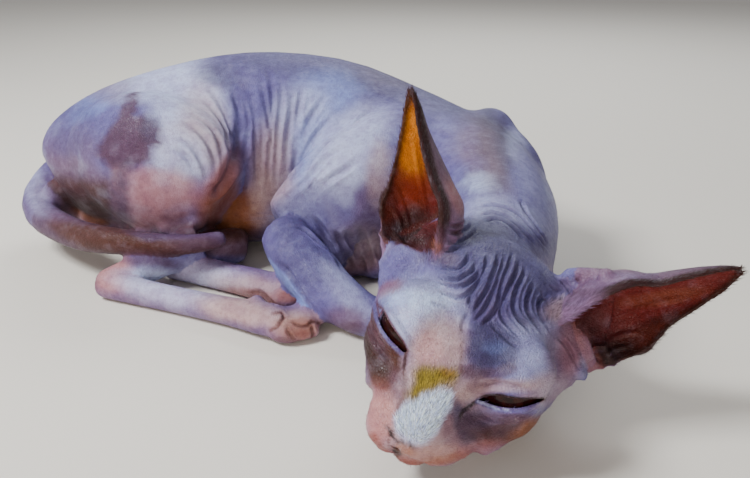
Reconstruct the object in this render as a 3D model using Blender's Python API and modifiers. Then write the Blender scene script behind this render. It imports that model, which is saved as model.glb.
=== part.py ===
"""A sphynx cat asleep, curled to its right with its head laid down in front of its chest.

Metres, +Z up. The floor is z = 0, the body lies along X with the rump at -X and the shoulders at +X, and the
face looks to -Y. Tables are in millimetres; at() and loft() turn them into metres. The model is built about
the sleeping place, then moved so that its origin is the middle of its base.
"""

import math

import bmesh
import bpy
from mathutils import Matrix, Vector

MM = 0.001
GAP = 0.3 * MM
SLIVER = 0.005 * MM
REACH = 400

# Trunk and neck, from the rump to the poll: centre x, y, z, half width, half height.
TRUNK = [
    (-151, 46, 37, 17, 19),
    (-141, 50, 41, 31, 32),
    (-117, 57, 46, 42, 42),
    (-84, 65, 49, 48, 49),
    (-42, 70, 52, 50, 53),
    (2, 69, 51, 49, 51),
    (38, 52, 46, 47, 45),
    (63, 26, 43, 44, 41),
    (78, -6, 43, 39, 38),
    (85, -38, 44, 31, 32),
    (81, -72, 43, 27, 28),
    (74, -102, 42, 25, 25),
    (70, -122, 40, 22, 22),
]
# The belly and flanks spread where they lie on the floor.
BELLY = [
    (-132, 56, 24, 24, 20),
    (-100, 64, 24, 42, 25),
    (-50, 68, 24, 51, 27),
    (0, 66, 24, 50, 27),
    (44, 46, 24, 44, 26),
    (74, 12, 22, 34, 23),
]
SHOULDER_LEFT = ((118, 4, 40), (27, 42, 44))
SHOULDER_BLADE = ((91, 31, 66), (15, 16, 17))
HIP = ((-112, 74, 62), (26, 22, 26))
CHEST = ((32, 10, 33), (34, 24, 24))
ELBOW = ((-13, -19, 32), (15, 13, 17))

# How a fused surface is made: its voxel, smoothing steps, the fillet of its grooves, the share of faces kept.
BODY_SURFACE = (2.2, 4, 3.5, 0.055)
HEAD_SURFACE = (1.3, 4, 3, 0.067)
FOOT_SURFACE = (1.1, 3, 1, 0.05)
# Where the neck parts from the trunk, and which way the neck lies from there.
NECK_CUT = ((80, -30, 44), (-0.1, -1, 0))

# Head: its own frame has x to the cat's right, y forward and z up, and starts midway between the eyes.
HEAD_PLACE = (57.5, -162, 40.2)
HEAD_FORWARD = (-0.371, -0.922, -0.102)
HEAD_ROLL_DEG = -23.4
POLL = (0, -50, -4)
EYE = (19, -2.5, 0)
EYE_RADIUS = 11
LID_RADIUS = 13
# The balls that make up the head, by centre and radii: on its middle, then on each side as on the right.
SKULL_AND_JAW = [
    ((0, -34, 2), (29, 32, 24)),
    ((0, -10, 2), (24, 22, 13)),
    ((0, 8, -13), (18, 17, 12)),
    ((0, 15.5, -30), (8.5, 9, 6)),
    ((0, -2, -28), (15, 24, 9)),
    ((0, -32, -22), (22, 26, 16)),
    ((0, 28.4, -16.6), (6.2, 3.5, 4.3)),
]
CHEEKS_AND_BROWS = [
    ((15, 4, -14), (13, 16, 11)),
    ((24.5, -14, -10), (10.5, 22, 12)),
    ((20, -24, -23), (14, 20, 15)),
    (EYE, (LID_RADIUS, LID_RADIUS, LID_RADIUS)),
    ((18, -8, 6), (14, 13, 8.5)),
    ((28, -37, 2), (12, 11, 9)),
    ((34, -36, -4), (9.5, 12, 13)),
    ((24, -50, 0), (14, 18, 18)),
    ((28, -27, -13), (10.5, 17, 15)),
    ((13, -12, -27), (12, 19, 10)),
]
# The pads of the muzzle. The left one is pressed up a little by the ground.
PADS = [((9, 20.5, -21), (10, 11.5, 7.7)), ((-7.5, 18, -18.8), (9.5, 11, 7))]
# Skin bunched up behind the left ear, where the head leans that way.
EAR_BACK_LEFT = ((-34, -50, 10), (12, 12, 14))
# The lids part along a slit: the way to its middle from the eye's centre, how far out that lies, and its
# half length, depth and height.
SLIT_TOWARD = (0.576, 0.817, -0.02)
SLIT_UP = (-0.125, 0.11, 0.986)
SLIT_OUT = 7.5
SLIT_RADII = (13.6, 9.5, 1.7)
NOSE_BRIDGE = [(0, 0, 6, 13, 9), (0, 13, -3, 10.5, 8.5), (0, 22, -9.3, 8.5, 7.5), (0, 28, -13.8, 6.2, 5.2)]
NOSTRIL = (3.2, 30.4, -16.8)
NOSTRIL_RADII = (1.7, 3.4, 1.3)
NOSTRIL_TURN_DEG = -28
CLEFT = (0, 30, -22)
CLEFT_RADII = (0.5, 4, 3.6)
MOUTH = (0, 12, -27.3)
MOUTH_RADII = (21, 22, 0.7)
LIP_DEPTH = 2.5

# Ears in the head's frame, as on the right: the middle of the root, the way to the tip, the way across to
# the inner rim, and the turn about the ear's own length.
EAR_RIGHT = ((36.5, -35, 8.3), (28, -24, 46), (-22, 5, 27), -12)
EAR_LEFT = ((39, -37, 10), (35, -26, 40), (-22, 5, 27), -10)
EAR_WALL = 1.8
# The bottom of each cup: how far along the ear and behind its opening it lies, and its radii across, deep, along.
CUP_BOTTOM = (6, 6)
CUP_RADII = (12, 6.5, 11)
# Along the ear from the root: distance, half width, depth of the cup.
RINGS_RIGHT = [
    (-8, 14, 15),
    (4, 17, 20),
    (14, 18, 22),
    (22, 13.5, 19),
    (32, 9, 14),
    (43, 5.5, 8),
    (51, 3.6, 5),
    (56, 2, 2.5),
    (58.5, 0.9, 0.9),
]
RINGS_LEFT = [
    (-8, 14.5, 14),
    (4, 18, 18.5),
    (14, 19, 20),
    (21, 17, 18),
    (28, 12, 13.5),
    (37, 9.5, 10.5),
    (46, 6.8, 7.5),
    (54, 3.8, 4),
    (58.5, 1, 1),
]

# Legs, feet and tail: centre x, y, z, half width, half height.
THIGH_RIGHT = [
    (-126, 42, 62, 20, 22),
    (-108, 32, 58, 29, 34),
    (-86, 22, 53, 30, 39),
    (-65, 12, 48, 24, 34),
    (-50, 4, 40, 14, 21),
]
SHANK_RIGHT = [(-62, -8, 21, 9, 10), (-76, -15, 17, 9.5, 10), (-92, -24, 11, 7.5, 8.5), (-105, -29, 8, 6, 7)]
FOOT_RIGHT = [
    (-109, -29, 7.5, 6, 7.5),
    (-98, -33, 7, 6.5, 7.5),
    (-70, -44, 6, 7, 6.5),
    (-40, -57, 6, 8, 6.5),
    (-22, -66, 6.5, 10, 7),
    (-12, -70, 6, 10, 6),
]
TOE_RADII = (8.5, 5.5)
TOES_RIGHT = [(-11, -77, 5.5), (-4, -73, 6), (-3, -66, 6), (-8, -60, 5.5)]
SHANK_LEFT = [
    (-40, 11, 12, 4, 4),
    (-43, 10, 12.5, 9, 9),
    (-54, 4, 12, 10.5, 10.5),
    (-70, -2, 9.5, 9, 9),
    (-80, -6, 7.5, 7, 7.5),
]
FOOT_LEFT = [
    (-80, -6, 7, 6.5, 7.5),
    (-60, -14, 7, 8, 7.5),
    (-38, -25, 7, 8.5, 7.5),
    (-24, -33, 7, 10, 7.5),
    (-16, -37, 6.5, 9.5, 6.5),
]
TOES_LEFT = [(-15, -46, 5.5), (-9, -42, 6), (-8, -34, 6), (-12, -27, 5.5)]
ARM_RIGHT = [
    (66, 30, 62, 20, 22),
    (46, 16, 58, 28, 29),
    (20, 3, 50, 28, 28),
    (-2, -10, 40, 21, 22),
    (-17, -18, 33, 14, 15),
]
FOREARM_RIGHT = [
    (-17, -20, 30, 12, 13),
    (-8, -36, 24, 13.5, 14),
    (6, -55, 16.5, 13, 13),
    (22, -68, 10.5, 10.5, 10.5),
    (36, -75, 8.5, 8.5, 8.5),
]
PAW_RIGHT = [(34, -74, 8.5, 8.5, 8.5), (48, -82, 7.5, 10, 8), (58, -88, 7, 10, 7)]
TOES_PAW_RIGHT = [(59, -97, 5.5), (65, -94, 6), (68, -88, 6), (66, -81, 5.5)]
ARM_LEFT = [(84, 36, 64, 16, 20), (98, 22, 46, 19, 26), (106, 6, 28, 16, 22), (108, -10, 17, 13, 15)]
FOREARM_LEFT = [(108, -12, 14, 12, 13), (106, -38, 11, 11, 11), (103, -62, 8.5, 9, 9)]
PAW_LEFT = [(103, -60, 8.5, 9, 8.5), (99, -74, 7.5, 10, 8), (96, -84, 7, 10, 7)]
TOES_PAW_LEFT = [(87, -88, 5.5), (90, -94, 6), (97, -95, 6), (103, -91, 5.5)]
TAIL = [
    (-136, 66, 46, 15, 15),
    (-154, 62, 36, 12, 12),
    (-163, 48, 27, 10, 10),
    (-158, 32, 22, 9, 9),
    (-143, 15, 21, 8.5, 8.5),
    (-123, -3, 22, 8, 8),
    (-101, -16, 24.5, 7, 7),
    (-78, -22, 25, 6, 6),
    (-60, -24, 26.5, 5, 5),
    (-49, -22, 28, 4.4, 4.4),
    (-45.5, -21.3, 28.4, 2.8, 2.8),
]
TAIL_CUTS = [((-153, 26, 21), (0.75, -0.66, 0)), ((-98, -17, 24.5), (0.96, -0.28, 0))]

SKIN_GREY = (0.34, 0.31, 0.42)
SKIN_PALE = (0.62, 0.47, 0.46)
SKIN_DARK = (0.17, 0.10, 0.12)
EAR_BROWN = (0.20, 0.07, 0.04)
EYE_DARK = (0.02, 0.01, 0.01)


def at(x, y, z):
    """A point given in millimetres, in metres."""
    return Vector((x, y, z)) * MM


def new_object(name, bm):
    mesh = bpy.data.meshes.new(name)
    bm.to_mesh(mesh)
    bm.free()
    obj = bpy.data.objects.new(name, mesh)
    bpy.context.scene.collection.objects.link(obj)
    return obj


def named(obj, name):
    obj.name = name
    obj.data.name = name
    return obj


def copy_of(obj, name):
    made = bpy.data.objects.new(name, obj.data.copy())
    bpy.context.scene.collection.objects.link(made)
    return made


def applied(obj):
    """Replaces obj by a plain mesh of what its modifiers make."""
    name = obj.name
    graph = bpy.context.evaluated_depsgraph_get()
    mesh = bpy.data.meshes.new_from_object(obj.evaluated_get(graph))
    made = bpy.data.objects.new("applied", mesh)
    bpy.context.scene.collection.objects.link(made)
    bpy.data.objects.remove(obj)
    return named(made, name)


def ellipsoid(centre, radii, turn=Matrix(), segments=16):
    """A ball of three radii. turn is laid over it last, such as the head's own frame."""
    bm = bmesh.new()
    place = turn @ Matrix.Translation(at(*centre)) @ Matrix.Diagonal((*at(*radii), 1))
    bmesh.ops.create_uvsphere(bm, u_segments=segments, v_segments=segments // 2, radius=1, matrix=place)
    bmesh.ops.recalc_face_normals(bm, faces=bm.faces)
    return new_object("ball", bm)


def between(rows, t):
    """Catmull-Rom through a table's rows, at t from 0 to len(rows) - 1."""
    i = min(int(t), len(rows) - 2)
    u = t - i
    p = [rows[max(0, min(len(rows) - 1, i + k))] for k in (-1, 0, 1, 2)]
    return [
        0.5 * (2 * b + (c - a) * u + (2 * a - 5 * b + 4 * c - d) * u**2 + (3 * b - a - 3 * c + d) * u**3)
        for a, b, c, d in zip(*p)
    ]


def loft(rows, turn=Matrix(), sides=20, steps=3, more=0):
    """A closed body through elliptical rings; more widens each ring by that many millimetres."""
    count = (len(rows) - 1) * steps
    rings = [between(rows, i / steps) for i in range(count + 1)]
    bm = bmesh.new()
    loops = []
    for i, (x, y, z, wide, high) in enumerate(rings):
        ahead = Vector(rings[min(i + 1, count)][:3]) - Vector(rings[max(i - 1, 0)][:3])
        ahead.normalize()
        side = ahead.cross(Vector((0, 0, 1))).normalized()
        up = side.cross(ahead)
        ring = Matrix((side * (wide + more), up * (high + more), ahead)).transposed().to_4x4()
        ring.translation = Vector((x, y, z))
        made = bmesh.ops.create_circle(bm, segments=sides, radius=1, cap_ends=i in (0, count), matrix=ring)
        loops.append([e for e in bm.edges if e.verts[0] in made["verts"] and e.verts[1] in made["verts"]])
    for first, second in zip(loops, loops[1:]):
        bmesh.ops.bridge_loops(bm, edges=first + second)
    bmesh.ops.recalc_face_normals(bm, faces=bm.faces)
    bmesh.ops.transform(bm, matrix=turn @ Matrix.Scale(MM, 4), verts=bm.verts)
    return new_object("loft", bm)


def block(low, high):
    """A box between two corners in millimetres."""
    bm = bmesh.new()
    middle = (at(*low) + at(*high)) / 2
    spread = at(*high) - at(*low)
    place = Matrix.Translation(middle) @ Matrix.Diagonal((*spread, 1))
    bmesh.ops.create_cube(bm, size=1, matrix=place)
    return new_object("block", bm)


def half_space(point, direction):
    """A large box whose near face goes through a point in metres, on the side that direction points to."""
    made = block((-REACH, -REACH, 0), (REACH, REACH, REACH))
    turn = Vector(direction).to_track_quat("Z", "Y").to_matrix().to_4x4()
    made.data.transform(Matrix.Translation(point) @ turn)
    return made


def fuse(name, pieces, voxel, smoothing, fillet, keep):
    """Overlapping pieces as one smooth surface, the grooves between them filled, at a share of its faces."""
    bm = bmesh.new()
    for piece in pieces:
        bm.from_mesh(piece.data)
        bpy.data.objects.remove(piece)
    whole = new_object(name, bm)
    for step in (fillet, -fillet, 0):
        remesh = whole.modifiers.new("Remesh", "REMESH")
        remesh.mode = "VOXEL"
        remesh.voxel_size = voxel * MM
        smooth = whole.modifiers.new("Smooth", "SMOOTH")
        smooth.factor = 0.5
        smooth.iterations = smoothing
        move = whole.modifiers.new("Move", "DISPLACE")
        move.mid_level = 0
        move.strength = step * MM
    less = whole.modifiers.new("Thin", "DECIMATE")
    less.ratio = keep
    return applied(whole)


def grown(obj, distance=GAP):
    """A copy with its faces moved out, by the gap that is left between neighbours."""
    made = copy_of(obj, "grown")
    grow = made.modifiers.new("Grow", "DISPLACE")
    grow.mid_level = 0
    grow.strength = distance
    return applied(made)


def closed(obj):
    """Whether every edge has two faces."""
    bm = bmesh.new()
    bm.from_mesh(obj.data)
    sound = len(bm.faces) > 0 and all(edge.is_manifold for edge in bm.edges)
    bm.free()
    return sound


def solved(obj, other, operation, solver):
    made = copy_of(obj, "solved")
    cut = made.modifiers.new("Cut", "BOOLEAN")
    cut.solver = solver
    cut.operation = operation
    cut.object = other
    return applied(made)


def combine(obj, other, operation):
    """Boolean of obj with other, both used up. The second solver is for where the first leaves a hole."""
    name = obj.name
    made = solved(obj, other, operation, "EXACT")
    if not closed(made):
        bpy.data.objects.remove(made)
        made = solved(obj, other, operation, "MANIFOLD")
    bpy.data.objects.remove(obj)
    bpy.data.objects.remove(other)
    return named(made, name)


def largest(obj):
    """Keeps the largest closed surface and drops needle faces."""
    bm = bmesh.new()
    bm.from_mesh(obj.data)
    bmesh.ops.remove_doubles(bm, verts=bm.verts, dist=SLIVER)
    bmesh.ops.dissolve_degenerate(bm, edges=bm.edges, dist=SLIVER)
    bmesh.ops.triangulate(bm, faces=bm.faces)
    left = set(bm.verts)
    shells = []
    while left:
        stack = [left.pop()]
        shell = set(stack)
        while stack:
            for edge in stack.pop().link_edges:
                for v in edge.verts:
                    if v in left:
                        left.discard(v)
                        shell.add(v)
                        stack.append(v)
        shells.append(shell)
    shells.sort(key=len)
    bmesh.ops.delete(bm, geom=[v for shell in shells[:-1] for v in shell], context="VERTS")
    bm.to_mesh(obj.data)
    bm.free()
    return obj


def part_off(whole, cutter, name):
    """Splits whole at a cutter's surface: gives the part inside it, and what is left a gap away."""
    wide = grown(cutter)
    inside = combine(copy_of(whole, name), cutter, "INTERSECT")
    return largest(inside), largest(combine(whole, wide, "DIFFERENCE"))


def boxes_meet(one, two):
    """Whether two objects' boxes come within the gap of each other."""
    spans = []
    for obj in (one, two):
        corners = list(zip(*(v.co for v in obj.data.vertices)))
        spans.append([(min(c) - GAP, max(c) + GAP) for c in corners])
    return all(a[0] < b[1] and b[0] < a[1] for a, b in zip(*spans))


def head_frame():
    """The head's own frame in the world."""
    forward = Vector(HEAD_FORWARD).normalized()
    right = forward.cross(Vector((0, 0, 1))).normalized()
    up = right.cross(forward)
    turn = Matrix((right, forward, up)).transposed()
    roll = Matrix.Rotation(math.radians(HEAD_ROLL_DEG), 3, "Y")
    return Matrix.Translation(at(*HEAD_PLACE)) @ (turn @ roll).to_4x4()


def head_pieces(frame):
    """Skull, face, muzzle, jaw and cheeks, as overlapping balls and a loft down the nose."""
    pieces = [loft(NOSE_BRIDGE, frame), ellipsoid(*EAR_BACK_LEFT, frame)]
    pieces += [ellipsoid(centre, radii, frame) for centre, radii in SKULL_AND_JAW + PADS]
    for side in (-1, 1):
        pieces += [ellipsoid((x * side, y, z), radii, frame) for (x, y, z), radii in CHEEKS_AND_BROWS]
    return pieces


def head_cutters(frame):
    """Eye sockets, the slits between the lids, the nostrils, the cleft under the nose and the ears' cups."""
    cutters = []
    socket = EYE_RADIUS + GAP / MM
    toward = Vector(SLIT_TOWARD).normalized()
    up = Vector(SLIT_UP)
    up = (up - toward * up.dot(toward)).normalized()
    for side in (-1, 1):
        mirror = frame @ Matrix.Diagonal((side, 1, 1, 1))
        eye = mirror @ Matrix.Translation(at(*EYE))
        cutters.append(ellipsoid((0, 0, 0), (socket, socket, socket), eye))
        lens = Matrix((toward.cross(up), toward, up)).transposed().to_4x4()
        cutters.append(ellipsoid((0, SLIT_OUT, 0), SLIT_RADII, eye @ lens))
        turn = Matrix.Translation(at(*NOSTRIL)) @ Matrix.Rotation(math.radians(NOSTRIL_TURN_DEG), 4, "Z")
        cutters.append(ellipsoid((0, 0, 0), NOSTRIL_RADII, mirror @ turn, 10))
    cutters.append(ellipsoid(CLEFT, CLEFT_RADII, frame, 8))
    cutters += [cup_bottom(1, EAR_RIGHT, frame), cup_bottom(-1, EAR_LEFT, frame)]
    return cutters


def head(frame):
    """The head with its openings, cut off at the poll."""
    made = fuse("head", [loft(TRUNK[-4:])] + head_pieces(frame), *HEAD_SURFACE)
    forward = frame.to_3x3() @ Vector((0, 1, 0))
    made = largest(combine(made, half_space(frame @ at(*POLL), forward), "INTERSECT"))
    lips = combine(ellipsoid(MOUTH, MOUTH_RADII, frame, 24), grown(made, -LIP_DEPTH * MM), "DIFFERENCE")
    made = combine(made, lips, "DIFFERENCE")
    for cutter in head_cutters(frame):
        made = combine(made, cutter, "DIFFERENCE")
    return made


def ear_axes(place):
    """An ear's root, and the ways along it, across it and out of its cup, in the head's frame."""
    root, axis, across, turn_deg = place
    axis = Vector(axis).normalized()
    across = Vector(across)
    across = (across - axis * across.dot(axis)).normalized()
    across.rotate(Matrix.Rotation(math.radians(turn_deg), 3, axis))
    return Vector(root), axis, across, across.cross(axis)


def cup_bottom(side, place, frame):
    """The hollow that an ear's cup sinks into the head."""
    root, axis, across, opening = ear_axes(place)
    along, behind = CUP_BOTTOM
    centre = root + axis * along - opening * behind
    turn = Matrix((across, opening, axis)).transposed().to_4x4()
    mirror = frame @ Matrix.Diagonal((side, 1, 1, 1))
    return ellipsoid((0, 0, 0), CUP_RADII, mirror @ Matrix.Translation(at(*centre)) @ turn)


def ear(name, side, place, rings, frame):
    """A cupped sheet of even thickness, open to the front and outside."""
    root, axis, across, opening = ear_axes(place)
    bm = bmesh.new()
    columns = 10
    rows = len(rings) + 3
    bmesh.ops.create_grid(bm, x_segments=columns, y_segments=rows, size=1)
    for v in bm.verts:
        angle = math.pi * (v.co.x + 1) / 2
        along, wide, depth = between(rings, (v.co.y + 1) / 2 * (len(rings) - 1))
        p = root + axis * along - across * wide * math.cos(angle) - opening * depth * math.sin(angle)
        v.co = frame @ at(p.x * side, p.y, p.z)
    made = new_object(name, bm)
    wall = made.modifiers.new("Wall", "SOLIDIFY")
    wall.thickness = EAR_WALL * MM
    wall.offset = 0
    return applied(made)


def foot(name, rows, places):
    """A foot with its four toes as one surface."""
    long, wide = TOE_RADII
    toes = [ellipsoid((x, y, r - 0.5), (long, wide, r)) for x, y, r in places]
    return fuse(name, [loft(rows)] + toes, *FOOT_SURFACE)


def body_parts(frame):
    """Torso, neck, right thigh and both upper arms, parted from one surface."""
    flesh = [
        loft(TRUNK),
        loft(BELLY),
        loft(THIGH_RIGHT),
        loft(ARM_RIGHT),
        loft(ARM_LEFT),
        ellipsoid(*SHOULDER_BLADE),
        ellipsoid(*HIP),
        ellipsoid(*CHEST),
        ellipsoid(*ELBOW),
    ]
    body = fuse("torso", flesh + head_pieces(frame), *BODY_SURFACE)
    forward = frame.to_3x3() @ Vector((0, 1, 0))
    body = largest(combine(body, half_space(frame @ at(*POLL) - forward * GAP, forward), "DIFFERENCE"))
    point, direction = NECK_CUT
    neck, body = part_off(body, half_space(at(*point), direction), "neck")
    for side, place in ((1, EAR_RIGHT), (-1, EAR_LEFT)):
        neck = combine(neck, cup_bottom(side, place, frame), "DIFFERENCE")
    thigh, body = part_off(body, loft(THIGH_RIGHT, sides=12, steps=2, more=2), "thigh_right")
    arm_right, body = part_off(body, loft(ARM_RIGHT, sides=12, steps=2, more=2), "upper_arm_right")
    arm_left, body = part_off(body, ellipsoid(*SHOULDER_LEFT), "upper_arm_left")
    return [body, neck, thigh, arm_right, arm_left]


def tail_lengths():
    """The tail in three lengths, cut across."""
    rest = named(loft(TAIL, sides=12, steps=2), "tail_root")
    lengths = []
    for name, (point, direction) in zip(("tail_tip", "tail_middle"), reversed(TAIL_CUTS)):
        piece, rest = part_off(rest, half_space(at(*point), direction), name)
        lengths.append(piece)
    return [rest] + lengths[::-1]


def eye(name, side, frame):
    x, y, z = EYE
    return named(ellipsoid((x * side, y, z), (EYE_RADIUS, EYE_RADIUS, EYE_RADIUS), frame), name)


def limb(name, rows):
    return named(loft(rows, sides=12, steps=2), name)


def fitted(pieces):
    """Cuts each piece clear of those before it and flat at the floor."""
    done = []
    for obj in pieces:
        name = obj.name
        for other in done:
            if boxes_meet(obj, other):
                obj = combine(obj, grown(other), "DIFFERENCE")
        obj = combine(obj, block((-REACH, -REACH, -REACH), (REACH, REACH, 0)), "DIFFERENCE")
        done.append(named(largest(obj), name))
    return done


def finish(name, colour, roughness):
    """A plain material in the part's own colour."""
    made = bpy.data.materials.new(name)
    made.use_nodes = True
    shader = made.node_tree.nodes["Principled BSDF"]
    shader.inputs["Base Color"].default_value = (*colour, 1)
    shader.inputs["Roughness"].default_value = roughness
    shader.inputs["Metallic"].default_value = 0
    return made


def colour_of(name):
    if name.startswith("eye"):
        return EYE_DARK, 0.08
    if name.startswith("ear"):
        return EAR_BROWN, 0.55
    if name.startswith("tail"):
        return SKIN_DARK, 0.6
    if name.startswith(("foot", "shank", "paw")):
        return SKIN_PALE, 0.55
    return SKIN_GREY, 0.6


def main():
    for obj in list(bpy.data.objects):
        bpy.data.objects.remove(obj)
    frame = head_frame()
    pieces = body_parts(frame) + [
        head(frame),
        foot("foot_right", FOOT_RIGHT, TOES_RIGHT),
        foot("foot_left", FOOT_LEFT, TOES_LEFT),
        limb("shank_right", SHANK_RIGHT),
        limb("shank_left", SHANK_LEFT),
        limb("forearm_right", FOREARM_RIGHT),
        limb("forearm_left", FOREARM_LEFT),
        foot("paw_right", PAW_RIGHT, TOES_PAW_RIGHT),
        foot("paw_left", PAW_LEFT, TOES_PAW_LEFT),
        *tail_lengths(),
        ear("ear_right", 1, EAR_RIGHT, RINGS_RIGHT, frame),
        ear("ear_left", -1, EAR_LEFT, RINGS_LEFT, frame),
    ]
    parts = fitted(pieces) + [eye("eye_right", 1, frame), eye("eye_left", -1, frame)]

    corners = list(zip(*(v.co for obj in parts for v in obj.data.vertices)))
    middle = Vector((min(corners[0]) + max(corners[0]), min(corners[1]) + max(corners[1]), 0)) / 2
    cat = bpy.data.collections.new("sphynx_cat")
    bpy.context.scene.collection.children.link(cat)
    for obj in parts:
        obj.data.transform(Matrix.Translation(-middle))
        obj.data.shade_smooth()
        obj.data.materials.clear()
        obj.data.materials.append(finish(obj.name, *colour_of(obj.name)))
        bpy.context.scene.collection.objects.unlink(obj)
        cat.objects.link(obj)


main()
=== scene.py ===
"""A sphynx cat asleep, as a life-size museum model: one bare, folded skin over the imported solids, wet dark
eyes behind half-closed lids, and short down on the skin."""

import math

import bmesh
import bpy
import numpy as np
from mathutils import Matrix, Vector, geometry, noise
from mathutils.bvhtree import BVHTree
from mathutils.kdtree import KDTree


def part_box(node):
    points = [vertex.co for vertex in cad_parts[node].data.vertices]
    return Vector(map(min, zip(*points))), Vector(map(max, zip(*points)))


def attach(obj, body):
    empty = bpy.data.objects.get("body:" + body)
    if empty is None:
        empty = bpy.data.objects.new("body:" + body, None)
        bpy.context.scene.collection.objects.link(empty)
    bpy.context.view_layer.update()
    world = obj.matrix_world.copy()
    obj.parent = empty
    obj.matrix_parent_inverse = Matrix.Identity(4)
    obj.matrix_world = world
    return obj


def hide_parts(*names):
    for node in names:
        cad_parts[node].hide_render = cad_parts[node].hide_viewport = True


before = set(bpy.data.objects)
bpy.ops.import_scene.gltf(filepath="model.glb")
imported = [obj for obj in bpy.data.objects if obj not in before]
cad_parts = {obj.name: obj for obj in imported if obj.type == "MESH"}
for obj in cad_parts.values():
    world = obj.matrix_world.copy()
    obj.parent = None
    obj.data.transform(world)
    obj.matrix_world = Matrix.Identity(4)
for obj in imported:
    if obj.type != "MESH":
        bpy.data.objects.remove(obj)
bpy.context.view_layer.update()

MM = 0.001

# The photograph's view: its size in pixels, the lens in pixels, the camera's place and its tilt downwards.
IMAGE = (750, 478)
LENS_PX = 850
CAMERA = Vector((0.03436, -0.38106, 0.187))
TILT = math.radians(22)
SENSOR_MM = 36

RIGHT = Vector((1, 0, 0))
AHEAD = Vector((0, math.cos(TILT), -math.sin(TILT)))
DOWN = Vector((0, -math.sin(TILT), -math.cos(TILT)))

# How finely the skin is modelled, how many triangles it keeps, and how far it is grown to close its joins.
VOXEL = 0.9 * MM
SKIN_TRIANGLES = {"body": 102000, "head": 90000}
GROWTH = 0.75 * MM

FLESH = [n for n in sorted(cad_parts) if not n.startswith("eye")]
SOLID_FLESH = [n for n in FLESH if not n.startswith("ear")]

# The head's own frame has x to the cat's right, y forward and z up, in millimetres from between the eyes.
HEAD_FORWARD = Vector((-0.371, -0.922, -0.102))
EYE_HALF_SPAN = 19
EYE_BACK = 2.5
EYE_RADIUS = 11
LID_RADIUS = 13.2
SOCKET_GAP = 0.3
# How deep the slit between the lids is cut, in metres, and how far from the eye's middle its skin is wet.
SLIT_DEPTH = 0.03
WET_EDGE = (12.5, 13.9)

# Ears: the root's middle, the way to the tip, the way across to the inner rim, and the turn in degrees.
EARS = {
    "right": ((36.5, -35, 8.3), (28, -24, 46), (-22, 5, 27), -12),
    "left": ((39, -37, 10), (35, -26, 40), (-22, 5, 27), -10),
}
# The ears and eyes are given for the right side. The left one's places have x turned round.
MIRROR = {"right": 1, "left": -1}
# Along each ear from the root: distance, half width, depth of the cup.
EAR_RINGS = {
    "right": [
        (-8, 14, 15), (4, 17, 20), (14, 18, 22), (22, 13.5, 19), (32, 9, 14), (43, 5.5, 8), (51, 3.6, 5),
        (56, 2, 2.5), (58.5, 0.9, 0.9),
    ],
    "left": [
        (-8, 14.5, 14), (4, 18, 18.5), (14, 19, 20), (21, 17, 18), (28, 12, 13.5), (37, 9.5, 10.5),
        (46, 6.8, 7.5), (54, 3.8, 4), (58.5, 1, 1),
    ],
}
EAR_WALL = 1.1 * MM + 2 * GROWTH
# The hollow at the bottom of each cup, in the ear's own frame: along it, behind its opening, and its radii.
CUP_BOTTOM = (7, 8)
CUP_RADII = (12.5, 8, 12)
# Where the balls of flesh at an ear's edges go, as angles round the cup, and their radii in millimetres: at
# the thick inner rim, in the pocket of skin at the outer rim, and at the root, from both rims to the head.
INNER_RIM = math.pi
RIM_RADIUS = 2.5
RIM_TAPER = 1.3
POCKET_ANGLE = 0.12
POCKET_PROUD = 1.6
POCKET_RADIUS = 1.5
POCKET_SWELL = 1.1
ROOT_ANGLES = (INNER_RIM, 2.8, 0.3, 0)
ROOT_SHARES = (0, 0.04, 0.08, 0.12)
ROOT_RADIUS = 1.9
ROOT_SPREAD = 1.1

# Folds of the skin. Each is the places in the photograph that its valley passes through.
FOREHEAD_FOLDS = [
    [(469, 250), (468, 258), (463, 265), (456, 269), (448, 268), (440, 266)],
    [(478, 258), (473, 270), (464, 276), (456, 280), (446, 279), (436, 275)],
    [(482, 266), (476, 277), (467, 284), (458, 287), (448, 285), (438, 281)],
    [(486, 268), (479, 281), (469, 293), (458, 298), (448, 295), (437, 291)],
    [(489, 252), (486, 264), (482, 275), (477, 284), (472, 292), (470, 301), (469, 309)],
    [(500, 251), (497, 264), (493, 275), (488, 288), (482, 298), (477, 306), (474, 316)],
    [(506, 251), (503, 264), (499, 275), (496, 285), (491, 296), (485, 308), (478, 317), (474, 324)],
    [(514, 250), (510, 262), (505, 274), (502, 284), (500, 294), (498, 305), (493, 314), (486, 322),
     (481, 328)],
    [(521, 258), (518, 268), (514, 278), (508, 289), (504, 299), (501, 309), (503, 319), (509, 326),
     (522, 339)],
    [(526, 266), (523, 276), (517, 288), (514, 299), (514, 309), (519, 319), (526, 326), (533, 334)],
    [(536, 282), (530, 290), (527, 299), (527, 309), (531, 318), (537, 326), (543, 335)],
    [(549, 295), (541, 299), (538, 305), (539, 314), (544, 322), (551, 332)],
]
BROW_FOLDS = [
    [(489, 322), (499, 332), (509, 341), (520, 349)],
    [(430, 302), (443, 306), (458, 311)],
    [(470, 312), (464, 322), (463, 334)],
]
FLANK_FOLDS = [
    [(256, 60), (259, 74), (263, 90), (266, 106), (269, 121), (270, 137), (269, 155), (268, 172),
     (267, 190), (264, 215)],
    [(266, 62), (270, 78), (272, 94), (272, 110), (270, 126), (269, 140)],
    [(281, 66), (281, 84), (281, 102), (279, 120), (277, 138), (276, 156), (275, 176), (272, 204)],
    [(292, 78), (292, 96), (291, 112), (288, 130), (286, 148), (286, 166), (283, 184)],
    [(243, 78), (249, 94), (253, 110), (255, 126), (256, 144), (257, 164), (257, 184), (255, 212)],
    [(261, 112), (262, 128), (262, 144), (261, 160), (260, 182)],
    [(240, 92), (246, 108), (248, 124), (247, 142), (244, 158), (238, 180)],
    [(230, 84), (236, 100), (240, 116), (241, 130)],
    [(303, 84), (300, 100), (297, 116), (296, 132)],
]
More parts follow.
